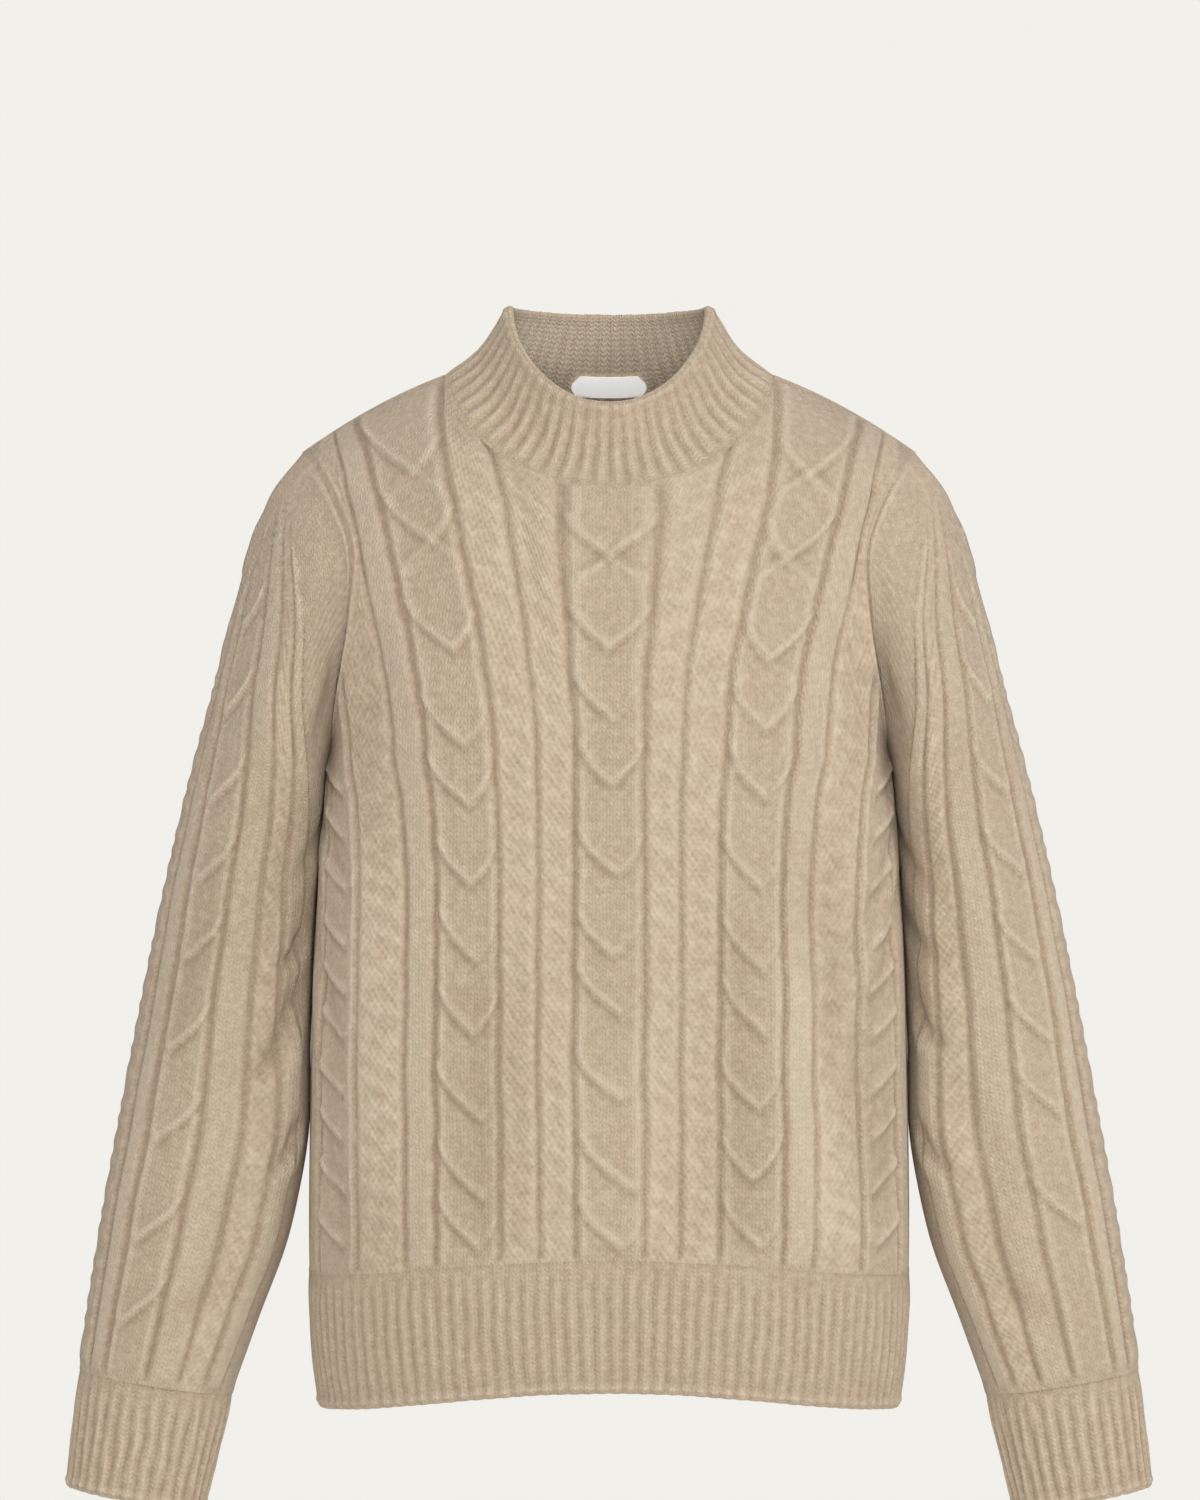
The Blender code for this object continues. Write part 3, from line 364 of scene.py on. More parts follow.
def yoke_point(facing, share, up):
    """Points above the underarm: the columns that start at share, a part up of their way."""
    start = torso_point(facing, share, np.full_like(share, UNDERARM_Z))
    reach = np.minimum(np.minimum(CORNER_EASE, share), 1 - share)
    offsets = np.linspace(-1, 1, CORNER_SAMPLES)
    end = sum(top_point(facing, share + reach * offset) for offset in offsets) / CORNER_SAMPLES
    lean = LEAN[facing]
    over = np.radians(lean.centre + (lean.shoulder - lean.centre) * smooth_step(0.0, NECK_SHARE, share))
    rise = points(0.0, -facing * np.sin(over), np.cos(over))
    length = np.linalg.norm(end - start, axis=-1, keepdims=True)
    upright = np.array([0.0, 0.0, 1.0])
    up = up[..., None]
    corner = (top_point(facing, share) - end) * up**CORNER_SHARPNESS
    return hermite(start, end, upright * length, rise * length, up) + corner


def column_share(place, spread, reach):
    """How far round its quarter a knit column lies: those beyond the fixed edge fill up the way to reach."""
    fixed_share = FIXED_EDGE * spread / QUARTER_ROUND
    outer = np.clip(place - FIXED_EDGE, 0.0, None) / (QUARTER_ROUND - FIXED_EDGE)
    return np.minimum(place, FIXED_EDGE) * spread / QUARTER_ROUND + (reach - fixed_share) * outer


Surface = namedtuple("Surface", "grid across along up from_edge")


def walk_across(grid):
    """The length along each row from its first point."""
    return np.pad(np.cumsum(np.linalg.norm(np.diff(grid, axis=1), axis=-1), axis=1), ((0, 0), (1, 0)))


def body_surface(facing, rows_below, rows_above, half_places):
    """A panel's plain surface as a grid from hem to shoulder, and each point's place in the knit."""
    places = np.concatenate([-half_places[::-1], half_places[1:]])
    share_out, sign = np.abs(places) / QUARTER_ROUND, np.sign(places)
    part = np.concatenate([np.linspace(0, 1, rows_below + 1), np.ones(rows_above)])[:, None]
    up = np.concatenate([np.zeros(rows_below), np.linspace(0, 1, rows_above + 1)])[:, None]
    place = share_out[None, :] * QUARTER_ROUND
    armhole = read(ARMHOLE[facing], up)
    seam_share = column_share(place, COLUMN_SPREAD[0].factor, 1.0)
    seam_z = hem_level(seam_share, facing, HEM_SEAM_SIDE_Z, HEM_SEAM_FRONT_RISE)
    z = seam_z + (UNDERARM_Z - seam_z) * part
    spread = read(COLUMN_SPREAD, z).factor
    share = np.clip(column_share(place, spread, armhole.reach), 0, 1)
    below = torso_point(facing, share, z)
    ups = np.broadcast_to(up, share.shape)
    seam = points(armhole.x, armhole.y, armhole.z)
    shift = seam - yoke_point(facing, armhole.reach, up)
    above = yoke_point(facing, share, ups) + shift * ((share / armhole.reach) ** SEAM_PULL)[..., None]
    grid = np.where((ups > 0)[..., None], above, below)
    grid[..., 0] *= sign
    steps = np.linalg.norm(np.diff(grid[:, len(places) // 2], axis=0), axis=-1)
    along = np.concatenate([[0.0], np.cumsum(steps)])[:, None] + 0.0 * share
    across = sign * share * QUARTER_ROUND / spread
    walked = walk_across(grid)
    return Surface(grid, across, along, ups, np.minimum(walked, walked[:, -1:] - walked))


def surface_normals(grid, outward, closed=False):
    """The direction through the wall at every point, from its neighbours."""
    if closed:
        across = np.roll(grid, -1, axis=1) - np.roll(grid, 1, axis=1)
    else:
        across = np.gradient(grid, axis=1)
    normal = unit(np.cross(across, np.gradient(grid, axis=0)))
    return normal * np.where((normal * outward).sum(-1, keepdims=True) < 0, -1.0, 1.0)


def neck_facing(turn):
    """The direction through the wall at the neck seam, shared by the panels and the collar."""
    side = np.sin(2 * math.pi * turn)
    up = NECK_FACING.up + NECK_FACING.up_sides * side * side
    return unit(points(NECK_FACING.sideways * side, -NECK_FACING.forwards * np.cos(2 * math.pi * turn), up))


def armhole_facing(facing, up):
    """The direction through the wall at the armhole seam, shared by a panel and its sleeve."""
    up = up**ARMHOLE_TURN
    top, under = np.clip(-np.cos(math.pi * up), 0, None), np.clip(np.cos(math.pi * up), 0, None)
    x = ARMHOLE_FACING.out + ARMHOLE_FACING.out_top * top + ARMHOLE_FACING.out_under * under
    z = ARMHOLE_FACING.up_top * top - ARMHOLE_FACING.down_under * under
    return unit(points(x, facing * ARMHOLE_FACING.forwards * np.sin(math.pi * up), z))


print("quarter of the chest:", QUARTER_ROUND, "mm")


# %% The sleeve's surface
def tube_point(row, half_turn):
    """Points of a sleeve ring. half_turn is 0 on the outer line, -1 and 1 on the inner line."""
    c, s = np.cos(math.pi * half_turn), np.sin(math.pi * half_turn)
    inwards = 2 * np.abs(half_turn) - 1
    angle, power = np.interp(inwards, *SLEEVE_ARC), 2 / INNER_SQUARENESS
    squared = np.where(inwards > 0, row.squared, 0.0)
    c = c + squared * (-np.sin(angle) ** power - c)
    s = s + squared * (np.sign(half_turn) * np.clip(np.cos(angle), 0, 1) ** power - s)
    x = (row.out_x + row.in_x) / 2 + (row.out_x - row.in_x) / 2 * c
    z = (row.out_z + row.in_z) / 2 + (row.out_z - row.in_z) / 2 * c
    return points(x, row.half_depth * s + row.y, z)


def armhole_point(half_turn):
    """Points of the armhole seam at places round the sleeve."""
    up = 1 - np.abs(half_turn)
    front, back = (read(ARMHOLE[facing], up) for facing in (FRONT, BACK))
    at_front = half_turn < 0
    return points(*(np.where(at_front, getattr(front, k), getattr(back, k)) for k in "xyz"))


def tube_surface(table, rows, turn, cap_share=None):
    """A sleeve's or cuff's plain surface as a closed grid, from its upper end to its lower one."""
    down = np.linspace(0, 1, rows + 1)[:, None]
    turn = turn[None, :]
    row = read(table, down)
    grid = tube_point(row, turn)
    if cap_share:
        fade = 1 - smooth_step(0.0, cap_share, down)
        grid = grid + (armhole_point(turn) - tube_point(table[0], turn)) * fade[..., None]
    outer_line = tube_point(row, 0 * down)[:, 0]
    steps = np.linalg.norm(np.diff(outer_line, axis=0), axis=-1)
    along = np.concatenate([[0.0], np.cumsum(steps)])[:, None] + 0.0 * turn
    return Surface(grid, turn + 0.0 * down, along[-1:] - along, down + 0.0 * turn, along)


def outward_of(grid):
    """Roughly outwards, from the middle of each ring."""
    return grid - grid.mean(axis=1, keepdims=True)


# %% [markdown]
# ## Raised knitting
#
# The pattern is worked out as a height above the plain knit. A cable is a smooth raised band between two
# grooves, and where its strands cross, one of them lies over the other: a light ridge runs down to a tip
# with a dark step under it. The crossings are listed one by one with their heights, since no two look
# alike. Between the cables run smooth strips and low ropes of pebbles, whose faint strokes lean the same
# way everywhere.

# %% How the columns stand up
Crossing = namedtuple("Crossing", "height tip far_arm below", defaults=(0.0,))
GROOVE_DEPTH, GROOVE_HALF = 1.15, 2.0
EDGE_OFF, EDGE_HALF = 4.4, 1.8  # the light ridge beside a groove
CABLE_HEIGHT, CABLE_EDGE, STRIP_HEIGHT, ROPE_HEIGHT, ROPE_EDGE = 0.9, 0.9, 1.3, 0.5, 0.35
EDGE_RISE = 3.4  # over this width a column rises from its groove
ARM_SLOPE, ARM_CURL, ARM_RIDGE, ARM_GROOVE, STEP = 0.95, 0.55, 1.7, 0.9, 0.7
SLANT = 0.66  # turns a height difference into the distance from a slanting arm
ARM_OFF, ARM_HALF, ARM_GROOVE_OFF, ARM_GROOVE_HALF = 1.3, 2.1, 2.6, 1.7
STEP_OFF, STEP_SOFTNESS, STEP_FADE = 1.4, 0.7, 9.0
SIDE_SLOPE = 0.5  # of the arms at the body's sides
LOWER_ARM = 1.5  # where strands cross openly, their other ends show below the tip as well
LOWER_GROOVE, LOWER_GROOVE_OFF = 0.5, 4.0
ROPE_PITCH, STROKE_HEIGHT, STROKE_LEAN = 15.0, 0.55, 0.55
PEBBLE_HEIGHT, PEBBLE_WIDTH, PEBBLE_LENGTH = 0.36, 6.6, 7.4


def raised(s, half_width, height, edge_ridge):
    """A raised column between two grooves, with a ridge along each of them."""
    edge = half_width - np.abs(s)
    sides = edge_ridge * ridge(edge - EDGE_OFF, EDGE_HALF) - GROOVE_DEPTH * ridge(edge, GROOVE_HALF)
    return height * smooth_step(0.0, EDGE_RISE, edge) + sides


def cable(s, half_width, z, crossings, slope=ARM_SLOPE):
    """A cable's height at a place s off its middle. Its crossings are listed with their tips."""
    edge = half_width - np.abs(s)
    height = raised(s, half_width, CABLE_HEIGHT, CABLE_EDGE)
    for crossing in crossings:
        reach = (s - crossing.tip) / half_width
        curl = ARM_CURL * ((s / half_width) ** 4 - (crossing.tip / half_width) ** 4)
        rise = slope * half_width * (np.abs(reach) + curl)
        off = (z - crossing.height - rise) * SLANT
        strength = np.where(reach < 0, 1.0, crossing.far_arm) * smooth_step(0.0, 2.5, edge)
        crest = ARM_RIDGE * ridge(off - ARM_OFF, ARM_HALF)
        arm = crest - ARM_GROOVE * ridge(off + ARM_GROOVE_OFF, ARM_GROOVE_HALF)
        drop_off = np.exp(np.clip((off + STEP_OFF) / STEP_SOFTNESS, -30, 30))
        under = STEP / (1 + drop_off) * np.exp(np.minimum(off, 0) / STEP_FADE)
        height = height + strength * (arm - under)
        if crossing.below:
            drop = (z - crossing.height - 1.0 + slope * half_width * np.abs(reach)) * SLANT
            groove = LOWER_GROOVE * ridge(drop - LOWER_GROOVE_OFF, ARM_GROOVE_HALF)
            lower = LOWER_ARM * crossing.below * (ridge(drop, ARM_HALF) - groove)
            height = height + lower * smooth_step(1.0, 5.0, edge)
    return height


def strip(s, half_width):
    """A smooth raised band, rounded over its width."""
    return raised(s, half_width, STRIP_HEIGHT, 0.2) + 0.3 * np.cos(math.pi * s / half_width / 2)


def rope(s, half_width, along):
    """A low column of pebbles, over which faint strokes lean from the upper left to the lower right."""
    edge = half_width - np.abs(s)
    bend = 0.4 * wander(along + 2.0 * s, 57.0, 31)
    stroke = STROKE_HEIGHT * np.cos(2 * math.pi * (along / ROPE_PITCH + STROKE_LEAN * s / half_width + bend))
    pebble = PEBBLE_HEIGHT * np.sin(2 * math.pi * (s / PEBBLE_WIDTH + bend))
    pebble = pebble * np.sin(2 * math.pi * (along / PEBBLE_LENGTH - bend))
    return raised(s, half_width, ROPE_HEIGHT, ROPE_EDGE) + (stroke + pebble) * smooth_step(2.0, 6.5, edge)


def average(values, cells, axis, closed):
    """The average over a number of cells to both sides, along one axis."""
    ends = [(cells + 1, cells) if k == axis else (0, 0) for k in range(2)]
    total = np.cumsum(np.pad(values, ends, mode="wrap" if closed and axis == 1 else "edge"), axis=axis)
    width = 2 * cells + 1
    size = values.shape[axis]
    return (total.take(range(width, width + size), axis) - total.take(range(size), axis)) / width


def stand_out(height, closed=False, cells=6):
    """How far each point stands above the knit around it, which the shaders use to paint light on its crests
    and shade in its hollows.
    """
    return height - average(average(height, cells, 0, closed), cells, 1, closed)


def kept_width(grid, across):
    """1 where the columns are as wide as they were knitted, and 0 where they are drawn together."""
    spacing = np.linalg.norm(np.gradient(grid, axis=1), axis=-1)
    return smooth_step(0.2, 0.65, spacing / np.maximum(np.abs(np.gradient(across, axis=1)), 0.3))


# %% [markdown]
# The front's crossings stand at these heights, in millimetres below the neck opening. Higher up, both arms
# of each V are plain to see; lower down, one strand covers the other and only its long diagonal shows.

# %% Where the cables cross
FRONT_CENTRE = (
    Crossing(-112, 0, 1.0, 1.0),
    Crossing(-167, 0, 1.0),
    Crossing(-208, 1, 0.3, 0.5),
    Crossing(-248, 1, 1.0),
    Crossing(-302, 4, 0.8),
    Crossing(-350, 2, 0.5),
    Crossing(-386, 6, 0.3),
    Crossing(-437, 6, 0.3),
    Crossing(-491, 15, 0.1),
    Crossing(-526, 6, 0.4),
)
FRONT_RIGHT_HAND = (
    Crossing(-58, 4, 0.7, 0.5),
    Crossing(-101, 5, 0.8, 0.7),
    Crossing(-167, 4, 0.9),
    Crossing(-224, 3, 0.6),
    Crossing(-260, 3, 0.8),
    Crossing(-308, 2, 1.0),
    Crossing(-353, 5, 0.4),
    Crossing(-398, 4, 0.9),
    Crossing(-449, 8, 0.3),
    Crossing(-497, 10, 0.3),
    Crossing(-526, 6, 0.4),
)
FRONT_LEFT_HAND = (
    Crossing(-60, -2, 0.9, 0.9),
    Crossing(-112, -3, 1.0, 1.0),
    Crossing(-173, 0, 1.0, 0.4),
    Crossing(-215, 2, 0.8),
    Crossing(-257, 6, 0.5),
    Crossing(-311, 6, 0.4),
    Crossing(-359, 6, 0.4),
    Crossing(-398, 8, 0.3),
    Crossing(-443, 4, 0.9),
    Crossing(-485, 0, 1.0),
    Crossing(-526, 5, 0.4),
)


HEIGHT_SPREAD, TIP_SPREAD, ARM_SPREAD = 4, 3, 0.3  # how far a crossing strays from an even repeat


def even_crossings(top, bottom, pitch, tip, far_arm, seed):
    """Crossings at a slightly uneven pitch, for what the knitter repeats out of sight."""
    rng = np.random.default_rng(seed)
    heights = np.arange(top, bottom, -pitch)
    return [
        Crossing(
            h + rng.uniform(-HEIGHT_SPREAD, HEIGHT_SPREAD),
            tip + rng.uniform(-TIP_SPREAD, TIP_SPREAD),
            np.clip(far_arm + rng.uniform(-ARM_SPREAD, ARM_SPREAD), 0, 1),
        )
        for h in heights
    ]


SIDE_DIAGONALS = even_crossings(-250, -560, 31, 9, 0.15, 3)
BackCable = namedtuple("BackCable", "top tip seed")
BACK_CABLES = [
    even_crossings(row.top, -560, 47, row.tip, 0.8, row.seed)
    for row in (BackCable(-45, 0, 5), BackCable(-70, 3, 6), BackCable(-60, -2, 7))
]
print(len(FRONT_CENTRE) + len(FRONT_RIGHT_HAND) + len(FRONT_LEFT_HAND), "crossings on the front")

# %% The pattern across a panel
Column = namedtuple("Column", "kind inner outer")
PANEL_COLUMNS = (
    Column("rope", 19.0, 40.0),
    Column("rope", 40.0, 63.5),
    Column("cable", 63.5, 103.0),
    Column("strip", 103.0, 123.0),
    Column("rope", 123.0, 158.0),
    Column("side_cable", 158.0, 197.0),
    Column("strip", 197.0, 217.0),
)
CENTRE_HALF_WIDTH = 19.0
PANEL_GROOVES = [CENTRE_HALF_WIDTH] + [column.outer for column in PANEL_COLUMNS]
PANEL_CABLES = [(0.0, CENTRE_HALF_WIDTH)] + [(c.inner, c.outer) for c in PANEL_COLUMNS if "cable" in c.kind]


def pebbled(across, columns):
    """1 where the knit is pebbled, on the ropes, and 0 elsewhere."""
    mask = np.zeros(across.shape)
    for column in columns:
        if column.kind == "rope":
            off = np.abs(np.abs(across) - (column.inner + column.outer) / 2)
            mask = mask + smooth_step(0.0, 3.0, (column.outer - column.inner) / 2 - off)
    return mask


def panel_relief(across, along, z, centre, right_hand, left_hand, sides):
    """The whole pattern of a front or back panel. right_hand is the cable on the wearer's right."""
    across = across + 0.8 * wander(z, 210.0, 11) + 0.4 * wander(z, 60.0, 12)
    height = np.where(np.abs(across) < CENTRE_HALF_WIDTH, cable(across, CENTRE_HALF_WIDTH, z, centre), 0.0)
    for column in PANEL_COLUMNS:
        half_width = (column.outer - column.inner) / 2
        for side in (-1, 1):
            s = across - side * (column.inner + column.outer) / 2
            if column.kind == "strip":
                shape = strip(s, half_width)
            elif column.kind == "rope":
                shape = rope(s, half_width, along + 5 * side)
            elif column.kind == "cable":
                shape = cable(s, half_width, z, right_hand if side < 0 else left_hand)
            else:
                shape = cable(-side * s, half_width, z, sides, SIDE_SLOPE)
            height = height + np.where(np.abs(s) < half_width, shape, 0.0)
    return height


# %% [markdown]
# ## Folds
#
# A filled-out sweater still creases: below the arms, inside the elbows, and in long soft drapes down the
# body. Cloth simulation would put its folds anywhere. Here every fold has its own place, so each is written
# down with its two ends, its width and its depth, and the sum of them moves the wall before the pattern is
# laid on it.

# %% Folds of the front and back
Fold = namedtuple("Fold", "across top bottom width depth lean")
BIG_FOLDS = {
    FRONT: (
        Fold(-68, -330, -560, 24, -3.5, 0.00),
        Fold(72, -300, -560, 22, -3.5, 0.00),
        Fold(-150, -260, -520, 24, 3.0, -0.05),
        Fold(118, -320, -560, 24, 3.5, -0.19),
        Fold(0, -380, -560, 34, 2.0, 0.00),
        Fold(150, -260, -520, 20, -3.5, -0.20),
    ),
    BACK: (
        Fold(-70, -300, -560, 26, -3.0, 0.03),
        Fold(64, -330, -560, 24, -3.0, -0.04),
        Fold(-140, -250, -520, 24, 2.5, 0.05),
        Fold(136, -260, -540, 26, 2.5, -0.05),
    ),
}
BIG_SLEEVE_FOLDS = (
    Fold(-0.78, -250, -420, 0.07, -3.0, 0.0),
    Fold(-0.62, -470, -590, 0.06, -2.5, 0.0),
    Fold(0.70, -300, -560, 0.08, -2.5, 0.0),
)
FOLD_END = 0.25


def big_folds(folds, across, z):
    """The folds that the frame's walls have too."""
    total = np.zeros(np.broadcast(across, z).shape)
    for fold in folds:
        off = (across - fold.across - fold.lean * (z - (fold.top + fold.bottom) / 2)) / fold.width
        end = FOLD_END * (fold.top - fold.bottom)
        past_top = smooth_step(fold.top - end, fold.top, z)
        along = smooth_step(fold.bottom, fold.bottom + end, z) * (1 - past_top)
        total = total + fold.depth * np.exp(-off * off) * along
    return total


Crease = namedtuple("Crease", "across_top z_top across_bottom z_bottom width depth")
CREASES = {
    FRONT: (
        Crease(215, -262, 150, -345, 7, -2.2),
        Crease(222, -300, 160, -392, 8, -2.6),
        Crease(150, -360, 112, -455, 9, -2.2),
        Crease(178, -330, 140, -420, 8, 1.8),
        Crease(205, -420, 165, -520, 10, -2.0),
        Crease(-216, -255, -160, -330, 8, -1.8),
        Crease(-205, -330, -176, -440, 9, -2.0),
        Crease(-190, -450, -168, -545, 9, -1.6),
        Crease(-30, -470, -34, -560, 11, -1.4),
        Crease(36, -450, 30, -560, 10, -1.3),
        Crease(-120, -150, -150, -225, 12, -1.6),
        Crease(118, -140, 152, -225, 12, -1.6),
    ),
    BACK: (
        Crease(-215, -262, -140, -350, 8, -2.2),
        Crease(-200, -330, -150, -450, 9, -2.2),
        Crease(212, -255, 150, -330, 8, -2.0),
        Crease(205, -350, 165, -470, 10, -2.4),
        Crease(-40, -300, -22, -470, 12, -1.6),
        Crease(20, -360, 34, -545, 12, -1.6),
        Crease(-110, -120, -135, -225, 14, -1.8),
        Crease(105, -110, 140, -225, 14, -1.8),
    ),
}


def creases(rows, across, z):
    """The small creases: narrow troughs with a soft shoulder beside each."""
    total = np.zeros(np.broadcast(across, z).shape)
    for row in rows:
        start = np.array([row.across_top, row.z_top], float)
        line = np.array([row.across_bottom, row.z_bottom], float) - start
        length = np.hypot(*line)
        line = line / length
        part = ((across - start[0]) * line[0] + (z - start[1]) * line[1]) / length
        off = (across - start[0]) * line[1] - (z - start[1]) * line[0]
        off = off + row.width * 0.5 * np.sin(math.pi * np.clip(part, 0, 1) * 1.7 + row.depth)
        ends = smooth_step(-0.05, 0.35, part) * (1 - smooth_step(0.6, 1.08, part))
        shoulder = 0.4 * ridge(off - 1.9 * row.width, 1.3 * row.width)
        total = total + row.depth * (ridge(off, row.width) - shoulder) * ends
    return total


# %% [markdown]
# ## From a height to a wall
#
# A wall is two skins: the outer one carries every ridge, the inner one is plain and needs only every fourth
# row and column. Round its edges each inner stretch is closed to its four outer ones by one long face. Two
# UV maps are laid on it: one counts the yarn in metres for the shaders, the other spreads both skins over a
# square without overlap, so that colours can be painted on it later.

# %% Building the walls
INNER_STEP = 4  # of the outer skin's rows and columns, the inner one keeps every fourth
OUTER_SHARE, INNER_FROM, EDGE_BAND = 0.80, 0.83, 0.006
SHARP_ANGLE = math.radians(72.0)  # edges sharper than this are the walls' cut edges


def skin_corners(rows, columns, closed):
    """The corners of a grid's faces, as row and column, on past the last column where it closes."""
    i, j = np.meshgrid(np.arange(rows - 1), np.arange(columns if closed else columns - 1), indexing="ij")
    square = ((0, 0), (0, 1), (1, 1), (1, 0))
    return np.stack([np.stack([i + di, j + dj], -1) for di, dj in square], -2).reshape(-1, 4, 2)


def mesh_object(name, vertices, faces, uv_maps, marks, material):
    """A smooth object with its UV maps and its marks, which are named values at each point."""
    mesh = bpy.data.meshes.new(name)
    mesh.from_pydata((vertices * MM).tolist(), [], faces)
    for map_name, values in uv_maps.items():
        mesh.uv_layers.new(name=map_name).uv.foreach_set("vector", np.asarray(values, np.float32).ravel())
    for mark, values in marks.items():
        mesh.attributes.new(mark, "FLOAT", "POINT").data.foreach_set("value", np.asarray(values, np.float32))
    mesh.shade_smooth()
    mesh.set_sharp_from_angle(angle=SHARP_ANGLE)
    mesh.materials.append(material)
    thing = bpy.data.objects.new(name, mesh)
    bpy.context.scene.collection.objects.link(thing)
    print(f"{name}: {len(mesh.vertices)} points, {sum(len(f) - 2 for f in faces)} triangles")
    return thing


def wall(name, outer, inner, yarn, marks, material, closed=False, flip=False):
    """A wall from its two skins. yarn gives the place in the knit in millimetres at every grid corner."""
    rows, columns = outer.shape[:2]
    kept = inner[::INNER_STEP, ::INNER_STEP]
    first = rows * columns
    faces, uvs, yarns = [], [], []

    def number(corner, inside):
        i, j = corner[..., 0], corner[..., 1]
        if inside:
            return first + (i // INNER_STEP) * kept.shape[1] + (j // INNER_STEP) % kept.shape[1]
        return i * columns + j % columns

    def add(corners, inside, low, high):
        """Adds faces. inside, low and high may differ from corner to corner."""
        corners = corners[:, ::-1] if flip else corners
        span = np.array([rows - 1, columns if closed else columns - 1], float)
        faces.extend(np.where(inside, number(corners, True), number(corners, False)).tolist())
        share = corners / span
        uvs.append(np.stack([share[..., 1], low + (high - low) * share[..., 0]], -1).reshape(-1, 2))
        yarns.append(yarn[corners[..., 0], corners[..., 1]].reshape(-1, 2))

    add(skin_corners(rows, columns, closed), False, 0.0, OUTER_SHARE)
    inner_rows, inner_columns = kept.shape[:2]
    add(skin_corners(inner_rows, inner_columns, closed)[:, ::-1] * INNER_STEP, True, INNER_FROM, 1.0)
    last_column = columns if closed else columns - 1
    rims = [(0, None, False), (rows - 1, None, True)]
    rims += [] if closed else [(None, 0, True), (None, columns - 1, False)]
    for k, (row, column, forward) in enumerate(rims):
        length = last_column if column is None else rows - 1
        starts = np.arange(0, length, INNER_STEP)[:, None]
        places = np.concatenate([starts + np.arange(INNER_STEP + 1), starts + INNER_STEP, starts], axis=1)
        inside = np.arange(INNER_STEP + 3) > INNER_STEP
        fixed = np.full_like(places, row if column is None else column)
        corners = np.stack([fixed, places] if column is None else [places, fixed], -1)
        turned = forward != flip
        order = slice(None) if turned else slice(None, None, -1)
        inside = inside[order]
        corners = corners[:, order]
        faces.extend(np.where(inside, number(corners, True), number(corners, False)).tolist())
        band = OUTER_SHARE + EDGE_BAND * (k + 0.2 + 0.6 * inside)
        uvs.append(np.stack([places[:, order] / length, 0 * corners[..., 0] + band], -1).reshape(-1, 2))
        yarns.append(yarn[corners[..., 0], corners[..., 1]].reshape(-1, 2))
    vertices = np.concatenate([outer.reshape(-1, 3), kept.reshape(-1, 3)])
    plain = np.zeros(kept.shape[0] * kept.shape[1])
    marks = {mark: np.concatenate([values.ravel(), plain]) for mark, values in marks.items()}
    maps = {"yarn": np.concatenate(yarns) * MM, "OFBake": np.concatenate(uvs)}
    return mesh_object(name, vertices, faces, maps, marks, material)


def rolled_tube(name, rings, yarn, marks, material, flip=False):
    """A tube's wall as one profile that runs down its outside, round its rim and up its inside."""
    rows, columns = rings.shape[:2]
    corners = skin_corners(rows + 1, columns, True)
    corners = corners[:, ::-1] if flip else corners
    faces = ((corners[..., 0] % rows) * columns + corners[..., 1] % columns).tolist()
    share = corners / np.array([rows, columns], float)
    maps = {"yarn": yarn[corners[..., 0] % rows, corners[..., 1]].reshape(-1, 2) * MM}
    maps["OFBake"] = share[..., ::-1].reshape(-1, 2)
    marks = {mark: values.ravel() for mark, values in marks.items()}
    return mesh_object(name, rings.reshape(-1, 3), faces, maps, marks, material)


# %% [markdown]
# ## Yarn
#
# From where the camera stands, wool is mostly colour that changes a little from stitch to stitch: a heather
# of light, middle and dark fibres, with broader patches that lean to pink or to yellow. Close up, every
# stitch is a small V, and on the ropes and strips the stitches turn to pebbles. Both belong to every
# knitted piece, so each is a node group with its own sizes, used by the cabled and the ribbed material
# alike.

# %% Small helpers for shader trees
def place_node(tree, kind, *values, **settings):
    """Adds a node, links or sets its inputs in order, and gives its first output."""
    node = tree.nodes.new("ShaderNode" + kind)
    for key, value in settings.items():
        setattr(node, key, value)
    for socket, value in zip(node.inputs, values):
        if isinstance(value, bpy.types.NodeSocket):
            tree.links.new(value, socket)
        elif value is not None:
            socket.default_value = value
    return node.outputs[0]


def calc(tree, operation, a, b=0.0, c=0.0):
    return place_node(tree, "Math", a, b, c, operation=operation)


def mix_colours(tree, factor, a, b, kind="MIX"):
    node = tree.nodes.new("ShaderNodeMix")
    node.data_type, node.blend_type = "RGBA", kind
    for socket, value in ((node.inputs[0], factor), (node.inputs[6], a), (node.inputs[7], b)):
        if isinstance(value, bpy.types.NodeSocket):
            tree.links.new(value, socket)
        else:
            socket.default_value = value
    return node.outputs[2]


def noise(tree, place, scale, detail=2.0, roughness=0.5):
    node = tree.nodes.new("ShaderNodeTexNoise")
    node.inputs["Scale"].default_value = scale
    node.inputs["Detail"].default_value = detail
    node.inputs["Roughness"].default_value = roughness
    tree.links.new(place, node.inputs["Vector"])
    return node.outputs["Fac"]


def stretch(tree, value, low, high, to_low=0.0, to_high=1.0):
    return place_node(tree, "MapRange", value, low, high, to_low, to_high)


def new_group(name, inputs, outputs):
    """A node group with named sockets: its tree, its inputs by name and its output node."""
    tree = bpy.data.node_groups.new(name, "ShaderNodeTree")
    for label, (kind, value) in inputs.items():
        socket = tree.interface.new_socket(label, in_out="INPUT", socket_type="NodeSocket" + kind)
        if value is not None:
            socket.default_value = value
    for label, kind in outputs.items():
        tree.interface.new_socket(label, in_out="OUTPUT", socket_type="NodeSocket" + kind)
    return tree, tree.nodes.new("NodeGroupInput").outputs, tree.nodes.new("NodeGroupOutput").inputs


